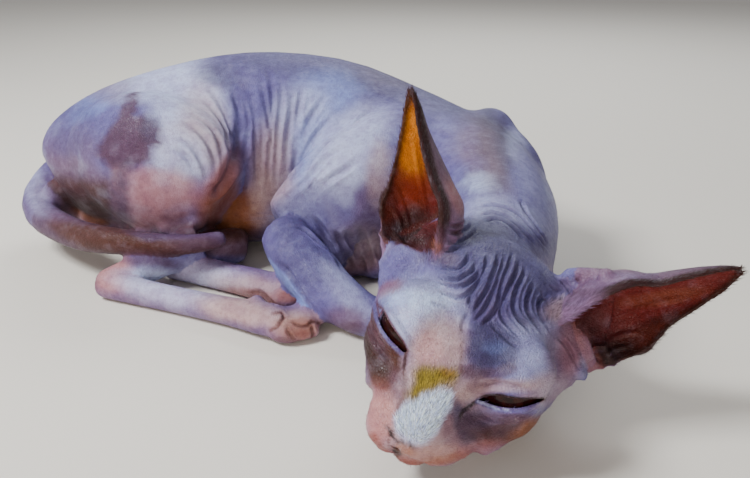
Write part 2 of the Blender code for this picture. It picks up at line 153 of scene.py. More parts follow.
SHOULDER_FOLDS = [
    [(330, 88), (320, 104), (310, 119), (304, 134), (300, 150)],
    [(346, 106), (330, 119), (316, 135), (307, 148), (301, 162), (294, 184)],
    [(358, 120), (341, 132), (328, 142), (317, 153), (308, 165), (300, 176)],
    [(362, 136), (344, 146), (329, 155), (319, 165), (306, 179), (293, 190), (277, 206)],
    [(376, 106), (358, 120), (344, 130)],
    [(298, 140), (295, 158), (293, 172), (289, 190)],
    [(364, 158), (346, 169), (330, 179), (316, 190)],
]
KNEE_FOLDS = [
    [(176, 108), (190, 114), (203, 121), (213, 130), (219, 142), (222, 156), (222, 168), (219, 184)],
    [(190, 92), (205, 102), (217, 114), (225, 130), (229, 146), (230, 160), (226, 182)],
    [(194, 76), (208, 88), (219, 102), (227, 118), (231, 134), (232, 152), (229, 168)],
    [(172, 118), (188, 125), (200, 133), (209, 144), (214, 156), (216, 170), (214, 186)],
    [(170, 132), (184, 140), (195, 150), (202, 163), (206, 177), (205, 192)],
    [(168, 146), (182, 153), (191, 163), (196, 176)],
]
FLANK_GROOVE = [
    (238, 112), (240, 124), (239, 136), (237, 152), (232, 168), (225, 183), (217, 192), (206, 203),
]
FOREARM_CREASES = [
    [(284, 225), (294, 226), (303, 229), (314, 238), (325, 248), (336, 260), (345, 274)],
    [(308, 214), (314, 219), (321, 227), (328, 238), (336, 250), (344, 264)],
    [(273, 261), (282, 266), (289, 273), (298, 288), (309, 304), (319, 318)],
]
CHEST_FOLDS = [
    [(333, 228), (340, 242), (347, 257), (353, 274)],
    [(345, 228), (351, 242), (359, 257), (366, 276)],
    [(358, 224), (364, 242), (370, 260), (374, 278)],
    [(372, 226), (377, 244), (380, 262)],
]
NECK_FOLDS = [
    [(474, 210), (484, 206), (497, 206), (510, 210), (522, 218), (532, 230), (542, 242), (550, 250)],
    [(477, 216), (490, 213), (504, 216), (516, 224), (527, 236), (538, 247)],
    [(481, 222), (494, 219), (506, 222), (516, 231), (525, 242)],
    [(520, 198), (525, 211), (533, 222), (541, 234), (549, 245)],
]
EAR_BASE_FOLDS = [
    [(446, 222), (455, 226), (465, 222), (473, 213)],
    [(446, 230), (456, 233), (467, 229), (476, 221)],
    [(447, 240), (458, 242), (469, 237), (480, 228)],
    [(441, 250), (452, 250), (464, 246)],
    [(540, 290), (546, 300), (549, 311), (547, 323)],
    [(548, 284), (557, 293), (561, 304), (558, 316)],
    [(560, 279), (568, 288), (573, 298)],
    [(556, 335), (566, 345), (573, 357), (577, 368)],
]
FOOT_CREASES = [
    [(274, 313), (281, 312), (284, 317), (280, 322), (277, 327), (269, 331)],
    [(291, 322), (300, 326), (308, 326), (312, 322), (319, 324)],
    [(311, 325), (313, 332), (312, 341)],
    [(286, 326), (288, 332), (293, 339)],
    [(249, 292), (258, 291), (264, 294), (269, 299), (275, 305), (284, 307)],
]
TRUNK = "torso upper_arm_right upper_arm_left neck"
# Flesh that fills gaps in the photograph's view, under the rump and thigh, under the chest and behind the
# left ear: the parts that it joins, a line of places in the photograph, the radius in millimetres, and how
# far behind them it lies, in radii.
FILLERS = [
    ("torso thigh_right", [(56, 192), (66, 202), (78, 210), (90, 216), (104, 222), (118, 226)], 8, 0.9),
    ("torso thigh_right", [(136, 229), (152, 230), (168, 229), (182, 226), (194, 220)], 8, 0.9),
    ("thigh_right", [(168, 227), (180, 226), (190, 224), (200, 220)], 6, 0.2),
    (TRUNK, [(336, 246), (346, 256), (358, 262), (372, 262), (380, 270)], 10, 0),
    (TRUNK, [(350, 268), (362, 276), (374, 280)], 9, 0),
    ("head ear_left", [(570, 275), (582, 275), (594, 276), (606, 276)], 3.8, 0),
]
# Where along its ray a filler is looked for: metres from the camera, and how many steps of a millimetre.
FILLER_REACH = (0.25, 350)
# The toes in view, each with its place in the photograph and its radius in millimetres.
TOES = [(286, 332, 3.4), (302, 333, 3.6), (315, 331, 2.6), (257, 301, 3.4), (283, 295, 4.2)]
# How far a toe's ball lies behind the foot's surface, in radii.
TOE_SUNK = 0.75
# Raised lines inside the ears, the lobes at the left ear's root, and the lids' openings, edges and creases.
EAR_RIDGES = [
    [(391, 182), (397, 190), (402, 203), (407, 218), (409, 230)],
    [(386, 204), (394, 210), (399, 220), (402, 232)],
    [(412, 128), (415, 150), (419, 175), (424, 200), (428, 226)],
    [(600, 350), (614, 338), (632, 333), (648, 336)],
    [(606, 322), (630, 312), (655, 304), (690, 296)],
    [(602, 358), (616, 349), (632, 346)],
]
EAR_LOBES = [[(580, 328), (585, 342), (590, 356), (597, 370)], [(573, 366), (580, 374), (588, 380)]]

# Each opening goes round its upper edge and back along the lower one.
EYE_OPENINGS = {
    "right": [
        (376, 303), (382, 308), (388, 320), (395, 331), (403, 342), (407, 351), (403, 352), (397, 346),
        (388, 337), (381, 326), (378, 316),
    ],
    "left": [
        (478, 400), (486, 396.5), (498, 395.5), (508, 397.5), (522, 399.5), (544, 399), (532, 404.5),
        (518, 408), (505, 407.5), (497, 406), (488, 403),
    ],
}
LID_EDGES = [
    [(372, 302), (374, 314), (378, 327), (384, 338), (393, 348), (401, 356)],
    [(381, 301), (388, 310), (395, 321), (401, 331), (408, 341), (412, 352)],
    [(475, 404), (486, 408), (497, 411), (508, 412.5), (520, 412), (531, 408.5), (541, 403)],
    [(476, 395), (486, 391), (498, 390), (509, 392), (523, 394.5), (540, 395.5)],
]
LID_CREASES = [
    [(368, 318), (371, 332), (377, 345), (386, 356), (396, 364)],
    [(478, 412), (488, 417), (500, 420), (514, 420), (528, 415), (541, 407)],
    [(474, 388), (486, 384), (500, 383), (516, 386), (534, 389)],
    [(407, 352), (406, 361), (404, 372)],
    [(478, 401), (470, 407), (463, 410), (460, 417)],
]

# Pigments in sRGB. Some are also laid as painted shade and painted light: highlights, warm bounce, ear glow.
PIGMENTS_AND_SHADING = {
    "lilac": (100, 94, 152),
    "dusk": (126, 118, 142),
    "blue": (124, 146, 212),
    "pale": (186, 194, 230),
    "cream": (196, 166, 158),
    "mauve": (116, 82, 98),
    "pink": (190, 128, 122),
    "rose": (150, 86, 76),
    "slate": (58, 52, 88),
    "plum": (80, 46, 70),
    "brown": (76, 36, 20),
    "ochre": (146, 84, 28),
    "yellow": (128, 110, 4),
    "white": (198, 216, 250),
    "amber": (240, 150, 8),
    "red": (160, 36, 4),
    "maroon": (78, 16, 8),
    "umber": (50, 20, 8),
    "black": (24, 9, 8),
}


def world_ray(u, v):
    """The way from the camera through a place in the photograph."""
    aim = RIGHT * ((u - IMAGE[0] / 2) / LENS_PX) + AHEAD + DOWN * ((v - IMAGE[1] / 2) / LENS_PX)
    return aim.normalized()


def to_photo(points):
    """Where points in the world lie in the photograph, as an array of (u, v)."""
    away = points - np.array(CAMERA)
    depth = away @ np.array(AHEAD)
    u = IMAGE[0] / 2 + LENS_PX * (away @ np.array(RIGHT)) / depth
    v = IMAGE[1] / 2 + LENS_PX * (away @ np.array(DOWN)) / depth
    return np.stack([u, v], 1)


def curve(a, b, c, d, t):
    """The place at t from 0 to 1 on a smooth curve from b to c, with a before and d after them."""
    return 0.5 * (2 * b + (c - a) * t + (2 * a - 5 * b + 4 * c - d) * t**2 + (3 * b - a - 3 * c + d) * t**3)


def along(points, step):
    """Places about a step apart on a smooth curve through a few points, with their shares of the length."""
    p = np.array(points, float)
    p = np.vstack([2 * p[0] - p[1], p, 2 * p[-1] - p[-2]])
    places = []
    for a, b, c, d in zip(p, p[1:], p[2:], p[3:]):
        count = max(2, int(np.linalg.norm(c - b) / step))
        places += [curve(a, b, c, d, t) for t in np.arange(count) / count]
    places.append(p[-2])
    return [(place, i / (len(places) - 1)) for i, place in enumerate(places)]


def link(obj):
    bpy.context.scene.collection.objects.link(obj)
    return obj


def object_from(bm, name):
    mesh = bpy.data.meshes.new(name)
    bm.to_mesh(mesh)
    bm.free()
    return link(bpy.data.objects.new(name, mesh))


def applied(obj, name):
    """A plain mesh object of what obj's modifiers make, in its place."""
    graph = bpy.context.evaluated_depsgraph_get()
    made = bpy.data.objects.new(name, bpy.data.meshes.new_from_object(obj.evaluated_get(graph)))
    bpy.data.objects.remove(obj)
    return link(made)


def modifier(obj, kind, **settings):
    made = obj.modifiers.new(kind.title(), kind)
    for name, value in settings.items():
        setattr(made, name, value)
    return made


def values_of(items, name, size, kind=float):
    """What a mesh's items hold under a name, as an array with a row for each item."""
    flat = np.empty(len(items) * size, kind)
    items.foreach_get(name, flat)
    return flat.reshape(-1, size)


def positions(mesh):
    return values_of(mesh.vertices, "co", 3)


def normals(mesh):
    return values_of(mesh.vertex_normals, "vector", 3)


def set_positions(mesh, points):
    mesh.vertices.foreach_set("co", points.ravel())
    mesh.update()


def absorb(bm, obj):
    """Adds an object's mesh to a bmesh and removes the object."""
    bm.from_mesh(obj.data)
    bpy.data.objects.remove(obj)


def surface(obj):
    bm = bmesh.new()
    bm.from_mesh(obj.data)
    tree = BVHTree.FromBMesh(bm)
    bm.free()
    return tree


def middle(node):
    low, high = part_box(node)
    return (low + high) / 2


def head_frame():
    """The head's own frame, in millimetres, set by the two eyes."""
    right_eye = middle("eye_right")
    left_eye = middle("eye_left")
    across = (right_eye - left_eye).normalized()
    forward = HEAD_FORWARD.normalized()
    forward = (forward - across * forward.dot(across)).normalized()
    up = across.cross(forward)
    turn = Matrix((across, forward, up)).transposed().to_4x4()
    place = (right_eye + left_eye) / 2 + forward * EYE_BACK * MM
    return Matrix.Translation(place) @ turn @ Matrix.Scale(MM, 4)


HEAD = head_frame()


def ball(bm, place, radii, turn=Matrix(), segments=32):
    """Adds a ball of three radii to a bmesh, by way of a mesh of its own, which is much quicker."""
    matrix = turn @ Matrix.Translation(place) @ Matrix.Diagonal((*radii, 1))
    own = bmesh.new()
    bmesh.ops.create_uvsphere(own, u_segments=segments, v_segments=segments // 2, radius=1, matrix=matrix)
    if matrix.determinant() < 0:
        bmesh.ops.reverse_faces(own, faces=own.faces)
    mesh = bpy.data.meshes.new("ball")
    own.to_mesh(mesh)
    own.free()
    bm.from_mesh(mesh)
    bpy.data.meshes.remove(mesh)


def ring_at(rings, t):
    """The ear's ring at t from 0 to 1, on a smooth curve through the table's rows."""
    t = t * (len(rings) - 1)
    i = min(int(t), len(rings) - 2)
    rows = [np.array(rings[min(max(i + k, 0), len(rings) - 1)], float) for k in (-1, 0, 1, 2)]
    return curve(*rows, t - i)


def ear_frame(side):
    """Root, the way to the tip, the way across and the way out of the cup, in the head's frame."""
    root, axis, across, turn = EARS[side]
    axis = Vector(axis).normalized()
    across = Vector(across)
    across = (across - axis * across.dot(axis)).normalized()
    across.rotate(Matrix.Rotation(math.radians(turn), 3, axis))
    return Vector(root), axis, across, across.cross(axis)


def ear_place(side, p):
    """Where a place in the head's frame lies in the world, for an ear that is given for the right side."""
    return HEAD @ Vector((p.x * MIRROR[side], p.y, p.z))


def ear_point(side, t, angle, proud=0):
    """A place on the cup: t runs from root to tip, and the angle from the outer rim to the inner one."""
    root, axis, across, opening = ear_frame(side)
    distance, wide, deep = ring_at(EAR_RINGS[side], t)
    wide += proud
    deep += proud
    return root + axis * distance - across * wide * math.cos(angle) - opening * deep * math.sin(angle)


def ear(side):
    """A cupped sheet as a closed wall."""
    bm = bmesh.new()
    bmesh.ops.create_grid(bm, x_segments=40, y_segments=56, size=1)
    for v in bm.verts:
        v.co = ear_place(side, ear_point(side, (v.co.y + 1) / 2, math.pi * (v.co.x + 1) / 2))
    obj = object_from(bm, "ear_" + side)
    modifier(obj, "SOLIDIFY", thickness=EAR_WALL, offset=0)
    return applied(obj, "ear_" + side)


def ear_flesh(bm, side):
    """The thick inner rim, the pocket of skin at the outer rim, and the flesh from both to the head."""
    skull = surface(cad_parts["head"])

    def bead(place, radius):
        ball(bm, place, (radius,) * 3, segments=12)

    for i in range(40):
        t = 0.04 + 0.9 * i / 39
        bead(ear_place(side, ear_point(side, t, INNER_RIM)), (RIM_RADIUS - RIM_TAPER * t) * MM)
    for i in range(9):
        t = 0.2 + 0.2 * i / 8
        swell = math.sin(math.pi * i / 8)
        pocket = ear_point(side, t, POCKET_ANGLE, POCKET_PROUD * swell)
        bead(ear_place(side, pocket), (POCKET_RADIUS + POCKET_SWELL * swell) * MM)
    for angle in ROOT_ANGLES:
        for t in ROOT_SHARES:
            rim = ear_place(side, ear_point(side, t, angle))
            foot = skull.find_nearest(rim)[0]
            for i in range(5):
                bead(rim.lerp(foot, i / 4), (ROOT_RADIUS + ROOT_SPREAD * i / 4) * MM)


def toes(bm):
    """Rounds of the toes, each set into the foot where the photograph shows it."""
    feet = {side: surface(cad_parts["foot_" + side]) for side in MIRROR}
    for u, v, radius in TOES:
        way = world_ray(u, v)
        hits = [tree.ray_cast(CAMERA, way) for tree in feet.values()]
        place, _, _, _ = min((hit for hit in hits if hit[0]), key=lambda hit: hit[3], default=(None,) * 4)
        if place:
            ball(bm, place + way * radius * TOE_SUNK * MM, (radius * MM + GROWTH,) * 3, segments=16)


def fillers(bm):
    """Rows of balls, each where its ray from the camera passes closest to the parts it joins."""
    for parts, places, radius, behind in FILLERS:
        trees = [surface(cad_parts[part]) for part in parts.split()]
        for (u, v), _ in along(places, 3):
            way = world_ray(u, v)
            steps = [CAMERA + way * (FILLER_REACH[0] + MM * i) for i in range(FILLER_REACH[1])]
            place = min(steps, key=lambda p: min(tree.find_nearest(p)[3] for tree in trees))
            place += way * behind * radius * MM
            place.z = max(place.z, radius * MM)
            ball(bm, place, (radius * MM,) * 3, segments=20)


def cup_hollow(side):
    """The hollow that the ear's cup sinks into the head."""
    root, axis, across, opening = ear_frame(side)
    along_ear, behind = CUP_BOTTOM
    centre = root + axis * along_ear - opening * behind
    turn = Matrix((across, opening, axis)).transposed().to_4x4()
    mirror = HEAD @ Matrix.Diagonal((MIRROR[side], 1, 1, 1))
    bm = bmesh.new()
    ball(bm, (0, 0, 0), CUP_RADII, mirror @ Matrix.Translation(centre) @ turn, 40)
    return object_from(bm, "hollow")


def gathered():
    """The solids of flesh in one mesh, grown so that they meet, with the lids, ears, toes and fillers."""
    bm = bmesh.new()
    for name in SOLID_FLESH:
        bm.from_mesh(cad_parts[name].data)
    bmesh.ops.remove_doubles(bm, verts=bm.verts, dist=1e-6)
    grown = object_from(bm, "flesh")
    modifier(grown, "DISPLACE", mid_level=0, strength=GROWTH)
    grown = applied(grown, "flesh")
    bm = bmesh.new()
    absorb(bm, grown)
    for mirror in MIRROR.values():
        ball(bm, (EYE_HALF_SPAN * mirror, -EYE_BACK, 0), (LID_RADIUS,) * 3, HEAD)
    for place, radii in FACE_FLESH:
        ball(bm, place, [r + GROWTH / MM for r in radii], HEAD)
    for side in MIRROR:
        absorb(bm, ear(side))
        ear_flesh(bm, side)
    toes(bm)
    fillers(bm)
    return object_from(bm, "flesh")


def region_finder():
    """Tells which CAD node lies nearest to a place."""
    bm = bmesh.new()
    owners = []
    for name in FLESH:
        bm.from_mesh(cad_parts[name].data)
        owners += [name] * (len(bm.faces) - len(owners))
    tree = BVHTree.FromBMesh(bm)
    bm.free()
    return lambda place: owners[tree.find_nearest(place)[2]]


def nearest_regions(points):
    find = region_finder()
    return np.array([find(Vector(p)) for p in points])


def swollen(mesh):
    """Moves the skin of the face out along its normals at the soft swellings, and in at the hollows."""
    points = positions(mesh)
    ways = normals(mesh)
    lift = np.zeros(len(points))
    for (x, y, z), radius, height in FACE_SWELLS:
        for mirror in MIRROR.values():
            place = HEAD @ Vector((x * mirror, y, z))
            gone = np.linalg.norm(points - np.array(place), axis=1) / (radius * MM)
            lift += height * MM * np.exp(-gone**2)
    set_positions(mesh, points + ways * lift[:, None])


# The ridges beside a fold's valley and the fold's reach, in the valley's half widths, and the ridges' height
# as a share of its depth.
RIDGE_AT = 1.8
RIDGE_WIDTH = 0.7
RIDGE_HEIGHT = 0.45
FOLD_REACH = 3.2


class Folds:
    """Valleys in the skin, kept as places on it with a depth and a half width."""

    def __init__(self, tree):
        self.tree = tree
        self.samples = []

    def trace(self, strokes, depth, width, ends=0.25, tone=0.8):
        """Lays strokes given as places in the photograph on the skin. Depth and half width are in
        millimetres, ends is the share that fades out, and tone is how dark the valley's painted shade gets."""
        for stroke in strokes:
            for (u, v), share in along(stroke, 0.7):
                hit = self.tree.ray_cast(CAMERA, world_ray(u, v))[0]
                if hit is not None:
                    self.keep(hit, share, depth, width, ends, tone)
        return self

    def lay(self, strokes, depth, width, ends=0.25, tone=0.8):
        """Lays strokes given as places near the skin, in metres."""
        for stroke in strokes:
            for place, share in along(stroke, 0.5 * MM):
                hit = self.tree.find_nearest(Vector(place))[0]
                self.keep(hit, share, depth, width, ends, tone)
        return self

    def keep(self, place, share, depth, width, ends, tone):
        fade = min(1, min(share, 1 - share) / ends)
        fade = fade * fade * (3 - 2 * fade)
        self.samples.append((place.copy(), depth * MM * fade, width * MM, tone * fade))

    def field(self, points):
        """For each point: the lift along its normal, and how much painted shade its valley gets, from 0 to
        1.
        """
        tree = KDTree(len(points))
        for i, p in enumerate(points):
            tree.insert(p, i)
        tree.balance()
        ratio = np.full(len(points), np.inf)
        depth = np.zeros(len(points))
        dark = np.zeros(len(points))
        for place, deep, wide, tone in self.samples:
            for _, i, gone in tree.find_range(place, wide * FOLD_REACH):
                if gone / wide < ratio[i]:
                    ratio[i] = gone / wide
                    depth[i] = deep
                    dark[i] = tone
        valley = np.exp(-(ratio**2))
        ridge = np.exp(-(((ratio - RIDGE_AT) / RIDGE_WIDTH) ** 2))
        return depth * (RIDGE_HEIGHT * ridge - valley), valley * dark


# Soft swellings and hollows of the face, the same on both sides: place in the head's frame, radius, height.
FACE_SWELLS = [
    ((15, 12, 12), 9, 1.0), ((29, -6, 13), 9, 0.8), ((11, 15, -3), 5, -1.0), ((27, -2, -16), 8, 0.8),
    ((15, 12, -17), 5, -1.0), ((0, -14, 17), 7, -0.8), ((28, 4, -7), 8, 1.2),
]
# Nose leather, its two wings and the fronts of the pads, by centre and radii in the head's frame.
FACE_FLESH = [
    ((0, 29.2, -17.8), (4.6, 3.0, 3.2)), ((4.0, 28.0, -19.0), (2.5, 3.0, 2.2)),
    ((-4.0, 28.0, -19.0), (2.5, 3.0, 2.2)), ((0, 22, -9.5), (6.5, 4, 4)),
]
HEAD_REGIONS = ["head", "ear_right", "ear_left"]
# Rounds of smoothing for all of the skin, then for its soft parts, and what share of those a part takes.
SMOOTH_ALL = 4
SMOOTH_SOFT = 24
SOFTNESS = {"head": 0.3, "neck": 0.8, "ear_right": 0.1, "ear_left": 0.1}


def smoothed(obj, name):
    """Smooths the remeshed flesh by region, then draws it back by what it was grown."""
    regions = nearest_regions(positions(obj.data))
    group = obj.vertex_groups.new(name="soft")
    for region in FLESH:
        picked = np.nonzero(regions == region)[0].tolist()
        group.add(picked, SOFTNESS.get(region, 1.0), "REPLACE")
    modifier(obj, "SMOOTH", factor=0.5, iterations=SMOOTH_ALL)
    modifier(obj, "SMOOTH", factor=0.5, iterations=SMOOTH_SOFT, vertex_group="soft")
    modifier(obj, "DISPLACE", mid_level=0, strength=-GROWTH)
    return applied(obj, name)


def refined(obj):
    """Splits the faces of the head and ears, where the folds are finest."""
    regions = nearest_regions(positions(obj.data))
    fine = np.isin(regions, HEAD_REGIONS)
    bm = bmesh.new()
    bm.from_mesh(obj.data)
    bm.verts.ensure_lookup_table()
    edges = [e for e in bm.edges if fine[e.verts[0].index] and fine[e.verts[1].index]]
    bmesh.ops.subdivide_edges(bm, edges=edges, cuts=1, use_grid_fill=True)
    bm.to_mesh(obj.data)
    bm.free()
    modifier(obj, "SMOOTH", factor=0.5, iterations=1)
    return applied(obj, obj.name)


def prism(outline, near, far):
    """A solid along the camera's rays through an outline in the photograph, between two distances."""
    bm = bmesh.new()
    ring = [bm.verts.new(CAMERA + world_ray(u, v) * near) for u, v in outline]
    face = bm.faces.new(ring)
    deep = bmesh.ops.extrude_face_region(bm, geom=[face])["geom"]
    for v in deep:
        if isinstance(v, bmesh.types.BMVert):
            v.co = CAMERA + (v.co - CAMERA).normalized() * far
    bmesh.ops.recalc_face_normals(bm, faces=bm.faces)
    return object_from(bm, "opening")


def carve(obj, cutters):
    """Takes the cutters' shapes, which stay clear of each other, out of obj."""
    bm = bmesh.new()
    for cutter in cutters:
        absorb(bm, cutter)
    joined = object_from(bm, "cutters")
    name = obj.name
    modifier(obj, "BOOLEAN", operation="DIFFERENCE", object=joined, solver="MANIFOLD")
    obj = applied(obj, name)
    bpy.data.objects.remove(joined)
    return obj


def eye_slit(side):
    """The gap between the lids, along the camera's rays down to the eye."""
    outline = [tuple(p) for p, _ in along(EYE_OPENINGS[side] + EYE_OPENINGS[side][:1], 2)][:-1]
    away = (middle("eye_" + side) - CAMERA).length
    return prism(outline, away - SLIT_DEPTH, away)


def eye_socket(side):
    bm = bmesh.new()
    ball(bm, (EYE_HALF_SPAN * MIRROR[side], -EYE_BACK, 0), (EYE_RADIUS + SOCKET_GAP,) * 3, HEAD, 64)
    return object_from(bm, "socket")


# The balls that make a nostril's hole, as centre and radii in the head's frame, and their turn in degrees.
NOSTRIL = [
    (2.6, 32.4, -20.4, 1.0, 2.2, 1.1), (3.8, 31.4, -20.0, 1.0, 2.2, 0.8), (5.0, 30.2, -20.2, 0.9, 2.0, 0.6),
]
NOSTRIL_TURN = -30


def nostril(side):
    """A comma-shaped hole that runs back at its outer side."""
    bm = bmesh.new()
    mirror = MIRROR[side]
    turn = Matrix.Rotation(math.radians(NOSTRIL_TURN * mirror), 4, "Z")
    for x, y, z, rx, ry, rz in NOSTRIL:
        ball(bm, (0, 0, 0), (rx, ry, rz), HEAD @ Matrix.Translation((x * mirror, y, z)) @ turn, 16)
    hole = object_from(bm, "nostril")
    modifier(hole, "REMESH", mode="VOXEL", voxel_size=0.3 * MM)
    return applied(hole, "nostril")


# The mouth's line and the cleft over it, in the head's frame: the right half from the middle outwards.
MOUTH_LINE = [
    (0, 31, -25.2), (4, 30, -26.2), (8, 27.5, -27.5), (12, 22, -28.7), (15.5, 14, -29), (17, 6, -28),
]
NOSE_CLEFT = [(0, 33, -20.5), (0, 32.5, -22), (0, 31.5, -24), (0, 31, -25.2)]
# The groove round the nose's wing, and the crease between the pad and the cheek.
NOSE_WING = [(5, 29.5, -16), (7, 27.5, -17.5), (7.2, 27, -19.6), (5.4, 28.5, -21.6), (2.5, 30.5, -22)]
PAD_CREASE = [(11, 22, -10), (14, 17, -12), (17, 12, -16), (18.5, 8, -21)]


def head_strokes(points):
    """A stroke in the head's frame and its mirror image, as places in the world."""
    return [[tuple(HEAD @ Vector((x * mirror, y, z))) for x, y, z in points] for mirror in MIRROR.values()]


def broad_folds(obj):
    """The deep grooves between the masses of the body."""
    folds = Folds(surface(obj))
    folds.trace([FLANK_GROOVE], 2.6, 3.6, tone=0.4)
    folds.trace(CHEST_FOLDS, 1.8, 2.0, tone=0.75)
    folds.lay(head_strokes(PAD_CREASE), 0.9, 2.2, tone=0.4)
    return folds


def fine_folds(obj):
    """The wrinkles, creases and raised lid margins."""
    folds = Folds(surface(obj))
    folds.trace(FOREHEAD_FOLDS, 1.5, 0.8, 0.2, 0.95)
    folds.trace(BROW_FOLDS, 0.6, 0.9, tone=0.3)
    folds.trace(EAR_BASE_FOLDS, 1.1, 0.8, tone=0.75)
    folds.trace(FLANK_FOLDS, 1.9, 1.6, 0.5, 0.6)
    folds.trace(SHOULDER_FOLDS, 1.5, 1.6, 0.5, 0.45)
    folds.trace(KNEE_FOLDS, 1.4, 1.5, 0.5, 0.5)
    folds.trace(FOREARM_CREASES, 1.9, 1.4, 0.35, 0.75)
    folds.trace(NECK_FOLDS, 1.3, 1.1, 0.2, 0.7)
    folds.trace(FOOT_CREASES, 0.9, 0.8, 0.3, 0.95)
    folds.trace(EAR_RIDGES, -0.5, 0.9, tone=0)
    folds.trace(EAR_LOBES, -1.6, 1.9, tone=0)
    folds.trace(LID_EDGES, -0.8, 1.0, tone=0)
    folds.trace(LID_CREASES, 0.8, 0.8, tone=0.5)
    folds.lay(head_strokes(MOUTH_LINE), 1.6, 0.8, 0.1, 0.95)
    folds.lay(head_strokes(NOSE_CLEFT)[:1], 1.0, 0.5, 0.2, 0.8)
    folds.lay(head_strokes(NOSE_WING), 0.4, 0.5, 0.3, 0.4)
    return folds


def press(obj, folds):
    """Moves the skin by its folds."""
    points = positions(obj.data)
    lift, _ = folds.field(points)
    set_positions(obj.data, points + normals(obj.data) * lift[:, None])


def thinned(obj):
    """Brings the body and then the head down to their triangle counts."""
    for part, wanted in SKIN_TRIANGLES.items():
        regions = nearest_regions(positions(obj.data))
        picked = np.isin(regions, HEAD_REGIONS) == (part == "head")
        group = obj.vertex_groups.new(name=part)
        group.add(np.nonzero(picked)[0].tolist(), 1.0, "REPLACE")
        sizes = np.array([[len(p.vertices) - 2, picked[list(p.vertices)].all()] for p in obj.data.polygons])
        total = sizes[:, 0].sum()
        own = sizes[sizes[:, 1] == 1, 0].sum()
        modifier(
            obj, "DECIMATE", ratio=min(1, (total - own + wanted) / total), use_collapse_triangulate=True,
            vertex_group=part, vertex_group_factor=0.1,
        )
        obj = applied(obj, "skin")
    return obj


def make_skin():
    raw = gathered()
    modifier(raw, "REMESH", mode="VOXEL", voxel_size=VOXEL)
    raw = applied(raw, "skin")
    raw = carve(raw, [cup_hollow(side) for side in MIRROR])
    body = smoothed(raw, "skin")
    swollen(body.data)
    broad = broad_folds(body)
    press(body, broad)
    body = refined(body)
    fine = fine_folds(body)
    press(body, fine)
    body = carve(body, [eye_slit(side) for side in MIRROR])
    body = carve(body, [eye_socket(side) for side in MIRROR] + [nostril(side) for side in MIRROR])
    body = thinned(body)
    for polygon in body.data.polygons:
        polygon.use_smooth = True
    return body, [broad, fine]


def linear(rgb):
    """A colour from sRGB bytes to linear numbers."""
    c = np.array(rgb, float) / 255
    return np.where(c <= 0.04045, c / 12.92, ((c + 0.055) / 1.055) ** 2.4)


def ripple(points, size, seed):
    """Smooth noise from -1 to 1 over the points, of a size in millimetres."""
    shift = Vector((seed * 17.3, seed * 5.1, seed * 9.7))
    return np.array([noise.noise(Vector(p) / (size * MM) + shift) for p in points])


def soft_step(x, low, high):
    t = np.clip((x - low) / (high - low), 0, 1)
    return t * t * (3 - 2 * t)


def off_line(points, uv, closed=False):
    """How far each place lies from a line through a few points, in pixels."""
    a = np.array(points, float)
    ends = np.roll(a, -1, 0) if closed else a[1:]
    gone = np.full(len(uv), 1e9)
    for (x1, y1), (x2, y2) in zip(a, ends):
        way = np.array([x2 - x1, y2 - y1])
        t = np.clip(((uv - (x1, y1)) @ way) / (way @ way), 0, 1)
        gone = np.minimum(gone, np.linalg.norm(uv - (x1, y1) - t[:, None] * way, axis=1))
    return gone


def inside(outline, uv):
    """How far inside a closed outline each place lies, in pixels, below 0 outside."""
    odd = np.zeros(len(uv), bool)
    for (x1, y1), (x2, y2) in zip(outline, outline[1:] + outline[:1]):
        crosses = (y1 > uv[:, 1]) != (y2 > uv[:, 1])
        with np.errstate(divide="ignore", invalid="ignore"):
            odd ^= crosses & (uv[:, 0] < (x2 - x1) * (uv[:, 1] - y1) / (y2 - y1) + x1)
    gone = off_line(outline, uv, closed=True)
    return np.where(odd, gone, -gone)


# Where a spot or a line starts to fade and where it ends, as shares of its size.
SOFT_EDGE = (0.45, 1.25)
# The noise that makes edges ragged, coarse and fine: its size in millimetres and its seeds.
COARSE_NOISE = (14, (1, 2))
FINE_NOISE = (4, (3, 4))


